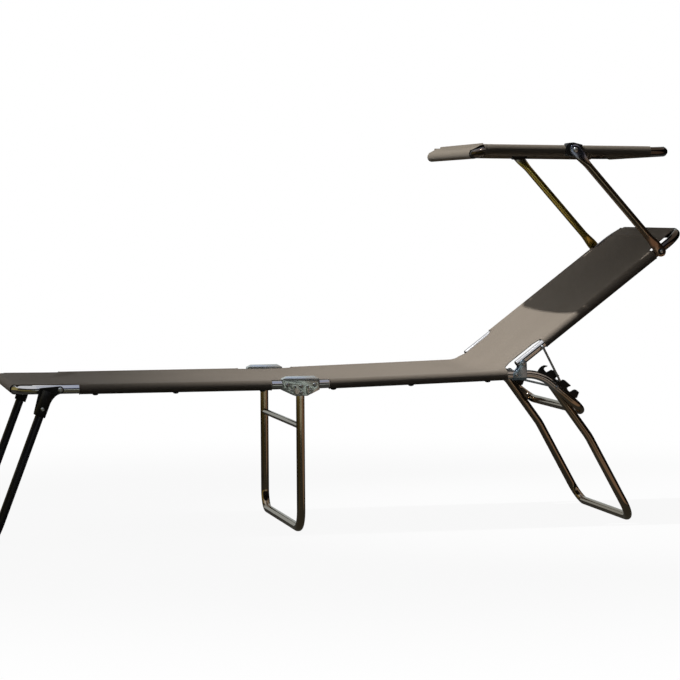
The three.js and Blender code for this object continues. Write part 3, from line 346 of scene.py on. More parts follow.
def makeClothFinish(name, warm, cool, seams, hems):
    # woven mesh: crossed yarns, and rows of stitches at the seams across and the hems along the piece's own
    # map, which is in metres
    weave = dict(pitch=0.0013, stitch=0.0042, thread=0.0009, pull=0.0030, stitchShare=0.35)
    look = Finish(name)
    along, across, _ = look.parts(look.out(look.node("ShaderNodeUVMap", {"uv_map": "cloth"})))
    turn, beat = math.pi / weave["pitch"], math.pi / weave["stitch"]
    warp, weft = (along * turn).sine(), (across * turn).sine()
    yarns = warp.absolute() * weft.absolute()
    over = (warp * weft).above(0.0)
    cloud = look.noise(5, 4)
    slub = look.noise(160, 2, look.stretched((0.12, 1, 1)))
    rows = [((across.absolute() - seam).absolute(), along) for seam in seams]
    rows += [((along - hem).absolute(), across) for hem in hems]
    thread = sum([away.below(weave["thread"]) * (run * beat).sine().absolute().above(weave["stitchShare"])
                  for away, run in rows], 0.0)
    # the cloth dips along each seam and hem, and there its colour is darker too, as painted shade
    dentWithPaintedShade = sum([away.short(weave["pull"], weave["pull"]) for away, _ in rows], 0.0)
    ribs = 1 - yarns
    tone = (cloud * 0.55 + slub * 0.25 + over * 0.12 + ribs * 0.08 + dentWithPaintedShade * 0.25 - thread * 0.6).held()
    relief = yarns * 0.14 + over * 0.06 - dentWithPaintedShade * 0.6 + thread * 0.5
    return look.surface({"Base Color": look.mix(tone, warm, cool), "Roughness": 0.74 + slub * 0.15,
                         "Sheen Weight": 0.06, "Sheen Roughness": 0.5, "Specular IOR Level": 0.2,
                         "Normal": look.bump(relief, distance=0.0011, strength=0.8)})


finishes = {
    "bright_tube": makeTubeFinish(),
    "post_tube": makePostFinish(),
    "black_tube": makeBlackCoat(),
    "zinc_plate": makeZincFinish("zincPressing", linear(196, 204, 202), linear(242, 247, 248)),
    "back_plate": makeZincFinish("bluedPressing", linear(146, 166, 186), linear(184, 204, 222)),
    "rivet_metal": makeRivetFinish(),
    "bright_wire": makeWireFinish(),
    "black_plastic": makePlasticFinish(),
    "cloth": makeClothFinish("taupeMesh", linear(152, 141, 128), linear(128, 118, 106), seams=(0.2375,),
                             hems=(0.036, 1.8286)),
    "canopy_cloth": makeClothFinish("canopyMesh", linear(140, 130, 116), linear(116, 107, 95),
                                    seams=(0.2325,), hems=(0.036, 0.4886)),
}
print("finishes:", len(finishes))


# Making of pieces
def finishPiece(obj, body, slot, replaced=(), finish=None):
    obj.data.materials.clear()
    obj.data.materials.append(finishes[finish or slot])
    if body:
        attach(obj, body)
    if replaced:
        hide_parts(*replaced)
    pieces[obj.name] = obj
    return obj


def meshObject(name, points, faces, smooth=True, uv=None):
    mesh = bpy.data.meshes.new(name)
    mesh.from_pydata(np.asarray(points, float).tolist(), [], faces)
    mesh.update()
    if uv is not None:
        layer = mesh.uv_layers.new(name="cloth")
        loops = np.zeros(len(mesh.loops), np.int32)
        mesh.loops.foreach_get("vertex_index", loops)
        layer.data.foreach_set("uv", np.asarray(uv, np.float32)[loops].ravel())
    mesh.polygons.foreach_set("use_smooth", [smooth] * len(mesh.polygons))
    obj = bpy.data.objects.new(name, mesh)
    scene.collection.objects.link(obj)
    return obj


def mended(obj, merge=0.0, flatten=0.0):
    # doubles nearer than merge are joined, faces within flatten radians made one, and all turned outwards
    mesh = bmesh.new()
    mesh.from_mesh(obj.data)
    if merge:
        bmesh.ops.remove_doubles(mesh, verts=mesh.verts, dist=merge)
    if flatten:
        bmesh.ops.dissolve_limit(mesh, angle_limit=flatten, verts=mesh.verts, edges=mesh.edges)
    bmesh.ops.recalc_face_normals(mesh, faces=mesh.faces)
    mesh.to_mesh(obj.data)
    mesh.free()
    return obj


def gridFaces(rows, columns, closeRows=False, closeColumns=False, start=0):
    # quads of a grid whose rows or columns may join up again
    r, c = np.ix_(np.arange(rows - (not closeRows)), np.arange(columns - (not closeColumns)))
    r2, c2 = (r + 1) % rows, (c + 1) % columns
    quads = np.stack([r * columns + c, r * columns + c2, r2 * columns + c2, r2 * columns + c], -1)
    return (quads.reshape(-1, 4) + start).tolist()


def bentPath(corners, bends, step=5.0):
    # straight runs joined by arcs, each arc touching both of its runs:
    # start + bend * (sin(angle) * into + (1 - cos(angle)) * side)
    corners = np.asarray(corners, float)
    stations = [corners[:1]]
    for k in range(1, len(corners) - 1):
        into, out = unit(corners[k] - corners[k - 1]), unit(corners[k + 1] - corners[k])
        turn = math.acos(float(np.clip(into @ out, -1, 1)))
        start = corners[k] - into * bends[k] * math.tan(turn / 2)
        side = unit(out - into * (into @ out))
        angle = np.linspace(0, turn, max(3, int(math.degrees(turn) / step) + 2))[:, None]
        stations.append(start + bends[k] * (np.sin(angle) * into + (1 - np.cos(angle)) * side))
    stations.append(corners[-1:])
    return np.vstack(stations)


def withBesideStations(path, beside=0.0015, longRun=0.020):
    # a station close to each end of every straight run, so that the bends don't tilt the run's normals
    stations = [path[:1]]
    for a, b in zip(path, path[1:]):
        length = np.linalg.norm(b - a)
        if length > longRun:
            stations.append(a + (b - a) / length * np.array([[beside], [length - beside]]))
        stations.append(b[None])
    return np.vstack(stations)


def ringsAlong(path, angle):
    # normal * cos(angle) + binormal * sin(angle) at each station, carried along the path without twist from
    # up, or from y where the path starts upright
    tangent = np.gradient(path, axis=0)
    tangent /= np.linalg.norm(tangent, axis=1)[:, None]
    seed = np.array([0, 0, 1.0]) if abs(tangent[0][2]) < 0.9 else np.array([0, 1.0, 0])
    normal = [unit(seed - tangent[0] * (seed @ tangent[0]))]
    for t in tangent[1:]:
        normal.append(unit(normal[-1] - t * (normal[-1] @ t)))
    normal = np.array(normal)
    binormal = np.cross(tangent, normal)
    return np.cos(angle)[None, :, None] * normal[:, None] + np.sin(angle)[None, :, None] * binormal[:, None]


def sweptTube(name, path, radius, wall=0.0, sides=28):
    # path + radius * ring; where there is a wall, out along the outside and back along the bore
    path = withBesideStations(np.asarray(path, float))
    ring = ringsAlong(path, np.linspace(0, 2 * math.pi, sides, endpoint=False))
    outside = path[:, None] + radius * ring
    if wall:
        inside = path[:, None] + (radius - wall) * ring
        points = np.concatenate([outside, inside[::-1]])
        obj = meshObject(name, points.reshape(-1, 3), gridFaces(len(points), sides, True, True))
        flattenRims(obj, len(path), sides)
    else:
        points = np.concatenate([outside.reshape(-1, 3), path[:1], path[-1:]])
        faces = gridFaces(len(path), sides, False, True)
        first, last, lastRing = len(points) - 2, len(points) - 1, len(points) - 2 - sides
        edges = [(k, (k + 1) % sides) for k in range(sides)]
        faces += [(first, a, b) for a, b in edges]
        faces += [(last, lastRing + b, lastRing + a) for a, b in edges]
        obj = meshObject(name, points, faces)
    return mended(obj)


def flattenRims(obj, count, sides):
    # the ring of wall at each end of a tube is flat
    for row in (count - 1, 2 * count - 1):
        for k in range(sides):
            obj.data.polygons[row * sides + k].use_smooth = False


def uPath(side, halfSpan, kneeBends, crossBend):
    # down one side, across, and back up the other; side is in the side view
    near = [(place[0], -halfSpan, place[1]) for place in side]
    far = [(place[0], halfSpan, place[1]) for place in side][::-1]
    bends = [0, *kneeBends, crossBend]
    return bentPath(near + far, bends + bends[::-1])


def makeBentTube(name, side, kneeBends, crossBend, body, node, slot="bright_tube", halfSpan=rail["halfSpan"]):
    path = uPath(side, halfSpan, kneeBends, crossBend)
    finishPiece(sweptTube(name, path, rail["tube"], rail["wall"]), body, slot, [node])


def turnedPiece(name, profile, place, across, sides=28):
    # a profile of radius and reach pairs turned about an axis along Y: place + radius * (cos, sin)(angle)
    profile = np.asarray(profile, float)
    angle = np.linspace(0, 2 * math.pi, sides, endpoint=False)
    x = place[0] + profile[:, :1] * np.cos(angle)
    z = place[1] + profile[:, :1] * np.sin(angle)
    y = np.repeat(across * profile[:, 1:], sides, axis=1)
    points = np.stack([x, y, z], -1).reshape(-1, 3)
    return mended(meshObject(name, points, gridFaces(len(profile), sides, False, True)), merge=1e-6)


def dressedCopy(node, body, slot, edge, finish=None, sharp=38):
    # a merged copy of a solid whose edges that are sharper than so many degrees are softened
    obj = bpy.data.objects.new("dressed_" + node, nodes[node].data.copy())
    scene.collection.objects.link(obj)
    mended(obj, merge=1e-6, flatten=math.radians(1))
    obj.data.polygons.foreach_set("use_smooth", [True] * len(obj.data.polygons))
    bevel = obj.modifiers.new("softEdges", "BEVEL")
    bevel.width, bevel.segments, bevel.limit_method = edge, 2, "ANGLE"
    bevel.angle_limit, bevel.harden_normals = math.radians(sharp), True
    bevel.use_clamp_overlap = True
    return finishPiece(obj, body, slot, [node], finish)


# Camera, set as the photograph was taken
def makeCamera():
    view = dict(yaw=11.544, pitch=2.852, roll=0.396, place=(-1.2835, -7.0666, 0.8429), film=36,
                focal=2700 / 680, seeFrom=0.1, seeTo=100)
    yaw, pitch, roll = (math.radians(view[key]) for key in ("yaw", "pitch", "roll"))
    forward = Vector((math.sin(yaw) * math.cos(pitch), math.cos(yaw) * math.cos(pitch), -math.sin(pitch)))
    right = Vector((math.cos(yaw), -math.sin(yaw), 0))
    down = forward.cross(right)
    rolledRight = right * math.cos(roll) + down * math.sin(roll)
    rolledDown = down * math.cos(roll) - right * math.sin(roll)
    turned = Matrix((rolledRight, -rolledDown, -forward)).transposed().to_4x4()
    camera = bpy.data.objects.new("photoCamera", bpy.data.cameras.new("photoCamera"))
    scene.collection.objects.link(camera)
    camera.data.sensor_width = view["film"]
    camera.data.lens = view["focal"] * view["film"]
    camera.matrix_world = Matrix.Translation(Vector(view["place"]) + Vector((middle[0], 0, 0))) @ turned
    camera.data.clip_start, camera.data.clip_end = view["seeFrom"], view["seeTo"]
    scene.camera = camera


makeCamera()
print("camera ready")


# Tubes and wire
def makeFrames():
    makeBentTube("footFrame", [onFoot(-rail["tubeEnd"], 0), onFoot(-rail["footReach"], 0)], [], rail["bend"],
                 "foot_section", "foot_frame_tube")
    seatSide = [onSeat(rail["tubeEnd"], 0), onSeat(rail["kneeReach"], 0), onTail(rail["tailLength"], 0)]
    makeBentTube("seatFrame", seatSide, [rail["kneeBend"]], rail["tailBend"], "seat_section",
                 "seat_frame_tube")
    makeBentTube("backFrame", [onBack(-rail["backTail"], 0), onBack(rail["backLength"], 0)], [], rail["bend"],
                 "backrest", "back_frame_tube")


def makeMiddleLeg():
    leg = dict(top=0.005, bend=0.050, bar=0.008, barHeight=0.277, barInset=0.98, barStations=12)
    side = [middle + (0, leg["top"]), np.array([middle[0], rail["tube"]])]
    makeBentTube("middleLeg", side, [], leg["bend"], "middle_leg", "middle_leg_tube")
    half = rail["halfSpan"] - rail["tube"] * leg["barInset"]
    ends = [(middle[0], y, leg["barHeight"]) for y in (-half, half)]
    bar = sweptTube("middleBar", np.linspace(*ends, leg["barStations"]), leg["bar"])
    finishPiece(bar, "middle_leg", "bright_tube", ["middle_leg_crossbar"])


def makeFootLeg():
    leg = dict(halfSpan=0.2935, lean=20.8, offset=0.0269, top=0.0175, bend=0.050)
    lean = math.radians(leg["lean"])
    down = np.array([-math.sin(lean), -math.cos(lean)])
    out = np.array([down[1], -down[0]])
    top = footPivot + out * leg["offset"] + down * leg["top"]
    foot = top + down * ((top[1] - rail["tube"]) / -down[1])
    makeBentTube("footLeg", [top, foot], [], leg["bend"], "foot_leg", "foot_leg_tube", "black_tube",
                 leg["halfSpan"])


def makeRearLeg():
    # the leg leans on the tail's crossbar, so far back that the two solids' faceted tubes clear each other:
    # sin(lean) = (corner + corner / cos(facet) + clear) / reach
    leg = dict(halfSpan=0.2395, knee=0.1645, kneeBend=0.120, past=0.0085, bend=0.050, facet=15, clear=0.0003)
    facet, tailBend = math.radians(leg["facet"]), rail["tailBend"]
    corner = rail["tube"] / math.cos(facet)
    inset = rail["halfSpan"] - leg["halfSpan"]
    shortfall = tailBend - math.sqrt(tailBend ** 2 - (tailBend - inset) ** 2)
    reach = rail["tailLength"] - rail["axleReach"] - shortfall
    lean = math.degrees(math.asin((corner + corner / math.cos(facet) + leg["clear"]) / reach))
    onLeg = inclined(axlePlace, tailAngle - lean)
    floorPlace = np.array([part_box("rear_leg_tube")[1][0] - rail["tube"], rail["tube"]])
    makeBentTube("rearLeg", [onLeg(-leg["past"], 0), onLeg(leg["knee"], 0), floorPlace], [leg["kneeBend"]],
                 leg["bend"], "rear_leg", "rear_leg_tube", halfSpan=leg["halfSpan"])


def makeCanopyFrame():
    footHalf = [onCanopy(-shade["tubeEnd"], 0), onCanopy(shade["crank"] - shade["reach"], 0),
                onCanopy(-shade["reach"], -shade["drop"])]
    makeBentTube("canopyFootHalf", footHalf, [shade["crankBend"]], shade["bend"], "canopy",
                 "canopy_frame_foot_side")
    headHalf = [onCanopy(shade["tubeEnd"], 0), onCanopy(shade["reach"], 0)]
    makeBentTube("canopyHeadHalf", headHalf, [], shade["bend"], "canopy", "canopy_frame_head_side")


def makePosts():
    # an oval carried between the pivots, round in the middle, that goes flat and wide towards rounded ends:
    # place = reach * along + tall * cos(angle) * above + thick * sin(angle) * y
    post = dict(radius=0.010, wall=0.0015, span=0.2922, flatHalf=0.003, wide=0.014, taper=0.042, thin=0.0008,
                roundFrom=0.12, blunt=0.1, roundStations=9, taperStations=12, sides=32)
    along = unit(canopyPivot - postPivot)
    above = np.array([-along[1], along[0]])
    length = np.linalg.norm(canopyPivot - postPivot)
    roundEnd = -post["wide"] * np.cos(np.linspace(post["roundFrom"], math.pi / 2, post["roundStations"]))
    taper = post["wide"] + post["taper"] * np.linspace(0, 1, post["taperStations"])
    reach = np.concatenate([roundEnd, taper, (length - taper)[::-1], (length - roundEnd)[::-1]])
    past = np.maximum(np.maximum(-reach, reach - length), 0)
    share = easeIn((np.minimum(reach, length - reach) - post["wide"]) / post["taper"])
    blunt = np.sqrt(np.maximum(post["wide"] ** 2 - past ** 2, (post["wide"] * post["blunt"]) ** 2))
    tall = blunt + (post["radius"] - blunt) * share
    thick = post["flatHalf"] + (post["radius"] - post["flatHalf"]) * share
    angle = np.linspace(0, 2 * math.pi, post["sides"], endpoint=False)
    for name, across in (("near", -1), ("far", 1)):
        shells = []
        for inset in (0.0, post["wall"]):
            up = (tall - inset * (tall / post["radius"]).clip(0, 1))[:, None] * np.cos(angle)
            side = np.maximum(thick - inset, post["thin"])[:, None] * np.sin(angle)
            x = postPivot[0] + reach[:, None] * along[0] + up * above[0]
            z = postPivot[1] + reach[:, None] * along[1] + up * above[1]
            shells.append(np.stack([x, across * post["span"] + side, z], -1))
        points = np.concatenate([shells[0], shells[1][::-1]])
        faces = gridFaces(len(points), post["sides"], True, True)
        obj = mended(meshObject("canopyPost_" + name, points.reshape(-1, 3), faces))
        finishPiece(obj, "canopy_posts", "bright_tube", ["canopy_post_" + name], "post_tube")


def makeProp():
    wire = dict(radius=0.003, span=0.2855, bend=0.006, ends=0.2615, sides=18)
    low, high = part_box("prop_wire")
    foot = (high[0] - wire["radius"], low[2] + wire["radius"])
    near = [(propPivot[0], -wire["ends"], propPivot[1]), (propPivot[0], -wire["span"], propPivot[1]),
            (foot[0], -wire["span"], foot[1])]
    far = [(x, -y, z) for x, y, z in near][::-1]
    path = bentPath(near + far, [0, *[wire["bend"]] * 4, 0], step=10)
    finishPiece(sweptTube("propWire", path, wire["radius"], sides=wire["sides"]), "prop", "bright_wire",
                ["prop_wire"])


makeFrames()
makeMiddleLeg()
makeFootLeg()
makeRearLeg()
makeCanopyFrame()
makePosts()
makeProp()
print("tubes and wire:", len(pieces))


# Pressings, mouldings and rivets
def makeFittings():
    # each pair's body, slot, softened edge and finish
    pairs = {
        "middle_hinge_shell": ("middle_leg", "zinc_plate", 0.0008),
        "back_hinge_plate": ("seat_section", "zinc_plate", 0.0006, "back_plate"),
        "foot_leg_bracket": ("foot_leg", "black_plastic", 0.0010),
        "prop_rack": ("seat_section", "black_plastic", 0.0008),
        "canopy_joint_block": ("canopy", "black_plastic", 0.0016),
        "back_end_plug": ("backrest", "black_plastic", 0.0006),
        "rear_leg_bush": ("rear_leg", "black_plastic", 0.0004),
    }
    for stem, making in pairs.items():
        for side in ("near", "far"):
            dressedCopy(f"{stem}_{side}", *making)


def makeDomedRivet(node, body, shank, head, cap, slot="rivet_metal", steps=7):
    # a shank with a domed head at each end, over the solid's own reach: head * sin(angle), cap * cos(angle)
    low, high = (np.array(corner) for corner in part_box(node))
    place = ((low + high) / 2)[[0, 2]]
    angle = np.linspace(0, math.pi / 2, steps)[:, None]
    start, end = low[1] + cap, high[1] - cap
    under = np.hstack([head * np.sin(angle), start - cap * np.cos(angle)])
    over = np.hstack([head * np.cos(angle), end + cap * np.sin(angle)])
    profile = np.vstack([under, [[shank, start], [shank, end]], over])
    finishPiece(turnedPiece("dome_" + node, profile, place, 1), body, slot, [node])


def makeRivets():
    rivet = dict(shank=0.0029, head=0.0054, cap=0.0022, leastShank=0.65, boltEdge=0.0004, boltSharp=30)
    axle = dict(shank=0.003, head=0.0055, cap=0.0022)
    # each rivet's body and its size as a share of the largest, then each bolt's body and slot
    domed = {"foot_fold_rivet": ("middle_leg", 1), "seat_fold_rivet": ("middle_leg", 1),
             "foot_stop_rivet": ("middle_leg", 0.6), "seat_stop_rivet": ("middle_leg", 0.6),
             "leg_rivet_upper": ("middle_leg", 0.8), "leg_rivet_lower": ("middle_leg", 0.8),
             "back_pivot_rivet": ("seat_section", 1), "hinge_plate_rivet": ("seat_section", 0.8)}
    bolts = {"foot_leg_pivot_bolt": ("foot_section", "rivet_metal"),
             "foot_leg_bolt": ("foot_leg", "rivet_metal"), "post_pivot_bolt": ("backrest", "black_plastic"),
             "canopy_pivot_bolt": ("canopy", "rivet_metal"), "rack_rivet": ("seat_section", "rivet_metal")}
    for side in ("near", "far"):
        for stem, (body, share) in domed.items():
            makeDomedRivet(f"{stem}_{side}", body, rivet["shank"] * max(share, rivet["leastShank"]),
                           rivet["head"] * share, rivet["cap"])
        for stem, (body, slot) in bolts.items():
            dressedCopy(f"{stem}_{side}", body, slot, rivet["boltEdge"], sharp=rivet["boltSharp"])
    makeDomedRivet("rear_leg_axle", "seat_section", slot="bright_wire", **axle)


def makeBoltEnds():
    # a low dome in the middle of each post bolt's black cap: radius * cos(angle), face + rise * sin(angle)
    dome = dict(radius=0.0045, rise=0.0014, sink=0.0002, steps=6)
    angle = np.linspace(0, math.pi / 2, dome["steps"])[:, None]
    for side, across in (("near", -1), ("far", 1)):
        low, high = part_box("post_pivot_bolt_" + side)
        face = (high[1] if across > 0 else -low[1]) - dome["sink"]
        over = np.hstack([dome["radius"] * np.cos(angle), face + dome["rise"] * np.sin(angle)])
        profile = np.vstack([[[0, face]], over])
        finishPiece(turnedPiece("boltEnd_" + side, profile, postPivot, across), "backrest", "rivet_metal")


makeFittings()
makeRivets()
makeBoltEnds()
print("fittings:", len(pieces))


# Cloth
fabric = dict(thick=0.0011, clear=0.0003, seam=0.012, tuckUnder=1.2, hemTurn=0.036, hemRound=0.0014,
              hemSides=8, columns=45, gap=0.010, linkSteps=5, merge=5e-5, crease=60)
clothLift = rail["tube"] + fabric["clear"] + fabric["thick"]  # from a tube's axis up to the cloth
sheetSides = ((-1, 0), (1, -1))  # each side with its own column of the sheet


def foldedRound(seam, roundSteps=26, tuckSteps=5):
    # section of cloth from its seam, straight to the tube's underside and round it to its top;
    # the first number is inboard, the second up, and the straight part touches the circle at
    # angle(seam) - acos(radius / distance)
    seam = np.asarray(seam, float)
    inboard, up = seam[..., 0], seam[..., 1]
    touch = np.arctan2(up, inboard) - np.arccos(clothLift / np.hypot(inboard, up))
    angle = np.linspace(touch, -1.5 * math.pi, roundSteps, axis=-1)
    around = clothLift * np.stack([np.cos(angle), np.sin(angle)], -1)
    share = np.linspace(0, 1, tuckSteps, endpoint=False)[:, None]
    tuck = seam[..., None, :] + (around[..., :1, :] - seam[..., None, :]) * share
    return np.concatenate([tuck, around], -2)


def lengthsAlong(points):
    return np.concatenate([[0], np.cumsum(np.linalg.norm(np.diff(points, axis=0), axis=1))])


def foldLength(out):
    # the cloth that a fold takes when its seam lies so far inboard of the tube's axis
    return lengthsAlong(foldedRound((out, clothLift)))[-1]


def crossing(first, second):
    # where two lines, each given by two of its places, meet in the side view
    d, e = first[1] - first[0], second[1] - second[0]
    share = np.linalg.solve(np.stack([d, -e], -1), second[0] - first[0])[0]
    return first[0] + d * share


class ClothLine:
    # the cloth in the side view: a line of stations, with the length run up to each and its normal
    def __init__(self, corners, bends, edges):
        self.dense = bentPath(corners, bends, step=2)
        self.denseRun = lengthsAlong(self.dense)
        marks = sorted([0.0, self.denseRun[-1]] + [self.reachAt(*edge) for edge in edges])
        spans = zip(marks, marks[1:])
        reach = [np.linspace(a, b, max(2, int((b - a) / fabric["gap"]) + 2))[:-1] for a, b in spans]
        self.reach = np.concatenate(reach + [[marks[-1]]])
        self.place = np.stack([np.interp(self.reach, self.denseRun, self.dense[:, k]) for k in (0, 1)], -1)
        step = np.gradient(self.place, axis=0)
        step /= np.linalg.norm(step, axis=1)[:, None]
        self.normal = np.stack([-step[:, 1], step[:, 0]], -1)

    def reachAt(self, frameOf, u):
        # the run where the line passes the place u along a section's own axis
        origin = frameOf(0, 0)
        along = frameOf(1, 0) - origin
        return float(np.interp(u, (self.dense - origin) @ along, self.denseRun))

    def between(self, low, high):
        return np.flatnonzero((self.reach >= low - 1e-6) & (self.reach <= high + 1e-6))


def mapped(reach, across):
    # the cloth's own map: metres run along it and metres from its middle
    return np.stack(np.broadcast_arrays(reach, across), -1)


def sagAt(dip, across):
    # dip * (1 - (y / half span)^2)
    return dip * (1 - (across / rail["halfSpan"]) ** 2)


def sheetGrid(line, rows, across, dip, raised):
    # place = line - normal * (sag - raised); across holds each row's own y
    across = across[rows]
    drop = sagAt(dip[rows, None], across) - raised[rows]
    x = line.place[rows, 0, None] - line.normal[rows, 0, None] * drop
    z = line.place[rows, 1, None] - line.normal[rows, 1, None] * drop
    return np.stack([x, across, z], -1), mapped(line.reach[rows, None], across)


def sleeveGrid(line, rows, side, sheetEdge, dip, edge, axis, up, fall=0.0, arch=0.0):
    # a folded section at each station: axis + up * (height - fall * (1 - height / radius) / 2), from the seam
    # to the tube's top, and from there a link to the sheet's own edge that rises by arch * sin(share * pi)
    seamOut = rail["halfSpan"] - edge + fabric["seam"]
    seamDrop = sagAt(dip[rows], rail["halfSpan"] - seamOut) + fabric["thick"] * fabric["tuckUnder"]
    sections = foldedRound(np.stack([np.full(len(rows), seamOut), clothLift - seamDrop], -1))
    height = sections[..., 1] - fall * (1 - sections[..., 1] / clothLift) / 2
    x = axis[:, :1] + height * up[:, :1]
    z = axis[:, 1:] + height * up[:, 1:]
    grid = np.stack([x, side * (rail["halfSpan"] - sections[..., 0]), z], -1)
    share = np.linspace(0, 1, fabric["linkSteps"])[1:, None]
    link = grid[:, -1:] + (sheetEdge[:, None] - grid[:, -1:]) * share
    rise = arch * np.sin(share[:, 0] * math.pi)
    link[..., 0] += rise * up[:, :1]
    link[..., 2] += rise * up[:, 1:]
    grid = np.concatenate([grid, link], 1)
    width = lengthsAlong(grid[len(rows) // 2])
    return grid, mapped(line.reach[rows, None], side * (edge + width[-1] - width))


def hemGrid(line, row, inboard, across, hemHalf, axis):
    # the same folded section round a crossbar, as wide as the columns that lie within hemHalf on the first
    # row; inboard is +1 where the cloth lies towards +x along the line
    section = foldedRound((fabric["hemTurn"], clothLift - fabric["thick"] * fabric["tuckUnder"]))
    along = np.array([line.normal[row, 1], -line.normal[row, 0]]) * inboard
    place = axis + section[:, :1] * along + section[:, 1:] * line.normal[row]
    y = across[row, np.abs(across[0]) <= hemHalf]
    x, y, z = np.broadcast_arrays(place[:, :1], y, place[:, 1:])
    width = lengthsAlong(place)
    start = line.reach[row] - inboard * (width[-1] - width)
    return np.stack([x, y, z], -1), mapped(start[:, None], y[0])


def boundEdge(before, edge, after):
    # a rolled hem carried round a cut-out: down from one sleeve's end, along the sheet and up on to the next
    runs = [before, [part[1:-1] for part in edge], after and [part[::-1] for part in after]]
    path, maps = (np.vstack([run[k] for run in runs if run]) for k in (0, 1))
    angle = np.linspace(0, 2 * math.pi, fabric["hemSides"], endpoint=False)
    points = path[:, None] + fabric["hemRound"] * ringsAlong(path, angle)
    uv = maps[:, None] + fabric["hemRound"] * np.stack([0 * angle, angle], -1)
    faces = gridFaces(len(path), len(angle), False, True)
    firstEnd = list(range(len(angle)))[::-1]
    lastEnd = list(range((len(path) - 1) * len(angle), len(path) * len(angle)))
    return mended(meshObject("boundEdge", points.reshape(-1, 3), faces + [firstEnd, lastEnd], True,
                             uv.reshape(-1, 2)))


def freeRuns(span, sleeves):
    # the stretches of a side edge that no sleeve holds
    held = [(low, high) for low, high, _ in sleeves]
    ends = sorted({*span, *(mark for pair in held for mark in pair)})
    return [pair for pair in zip(ends, ends[1:]) if pair not in held]


def joined(obj, others):
    with bpy.context.temp_override(active_object=obj, selected_editable_objects=[obj] + others):
        bpy.ops.object.join()


def sewn(name, grids):
    # welds grids along the edges that they share and gives the cloth its thickness; returns the area too,
    # as it was before that
    points = np.vstack([grid.reshape(-1, 3) for grid, _ in grids])
    maps = np.vstack([uv.reshape(-1, 2) for _, uv in grids])
    faces, start = [], 0
    for grid, _ in grids:
        faces += gridFaces(*grid.shape[:2], start=start)
        start += grid.shape[0] * grid.shape[1]
    obj = meshObject(name, points, faces, True, maps)
    area = sum(face.area for face in obj.data.polygons)
    mended(obj, merge=fabric["merge"])
    wall = obj.modifiers.new("clothThickness", "SOLIDIFY")
    wall.thickness, wall.offset = fabric["thick"], 0
    applyModifiers(obj)
    obj.data.set_sharp_from_angle(angle=math.radians(fabric["crease"]))
    return obj, area


def applyModifiers(obj):
    evaluated = obj.evaluated_get(bpy.context.evaluated_depsgraph_get())
    plain = obj.data
    mesh = bpy.data.meshes.new_from_object(evaluated)
    obj.modifiers.clear()
    obj.data = mesh
    bpy.data.meshes.remove(plain)


def declareSheet(obj, flat, area):
    min(area, flat[0] * flat[1])
    print(obj.name, "flat", [round(v, 3) for v in flat], "area", round(area, 3))


bed = dict(sag=0.010, ease=0.150, edge=0.2500, headEdge=0.2350, hemHalf=0.228, footCut=0.567, hingeCut=0.076,
           share=0.300, foldStart=0.510, seatEnd=0.548, backStart=0.080, backEnd=0.455, middleBend=0.2,
           foldBend=0.070, turnHalf=0.030, backNotch=0.019, hingeNotch=0.004, notchRound=0.020, arch=0.0006)


def bedLine():
    # the bed's cloth in the side view, and the run along it at each cut, seam and fold by name
    footLine, seatLine, backLine = ((at(0, clothLift), at(1, clothLift)) for at in (onFoot, onSeat, onBack))
    corners = [onFoot(-rail["footReach"], clothLift), crossing(footLine, seatLine),
               crossing(seatLine, backLine), onBack(rail["backLength"], clothLift)]
    edges = dict(footCut=(onFoot, -bed["footCut"]), footHinge=(onFoot, -bed["hingeCut"]), fold=(onFoot, 0),
                 seatHinge=(onSeat, bed["hingeCut"]), share=(onSeat, bed["share"]),
                 foldStart=(onSeat, bed["foldStart"]), seatEnd=(onSeat, bed["seatEnd"]),
                 backStart=(onBack, bed["backStart"]), backEnd=(onBack, bed["backEnd"]))
    line = ClothLine(corners, [0, bed["middleBend"], bed["foldBend"], 0], edges.values())
    return line, {name: line.reachAt(*edge) for name, edge in edges.items()}


def bedWidths(line, marks):
    # each row's y: the full width, less a rounded notch at the cut-outs and the taper past the last sleeves
    share = 1 - (1 - bed["headEdge"] / bed["edge"]) * easeIn((line.reach - marks["backEnd"]) / fabric["gap"])
    for low, high, depth in (("footHinge", "seatHinge", "hingeNotch"), ("seatEnd", "backStart", "backNotch")):
        into = easeIn((line.reach - marks[low]) / bed["notchRound"]) \
            * easeIn((marks[high] - line.reach) / bed["notchRound"])
        share = share - into * bed[depth] / bed["edge"]
    return np.linspace(-bed["edge"], bed["edge"], fabric["columns"]) * share[:, None]


def slantingPulls(line, marks, across):
    # a ridge from each foot sleeve's start: height * exp(-(distance / width)^2), faded at both of its ends
    pull = dict(height=0.0060, width=0.011, past=0.040, slant=0.75, rise=0.03, end=0.13, fade=0.09)
    inward = bed["edge"] - np.abs(across)
    distance = (line.reach[:, None] - marks["footCut"] - pull["past"]) + inward * pull["slant"]
    ends = easeIn(inward / pull["rise"]) * easeIn((pull["end"] - inward) / pull["fade"])
    return pull["height"] * np.exp(-(distance / pull["width"]) ** 2) * ends


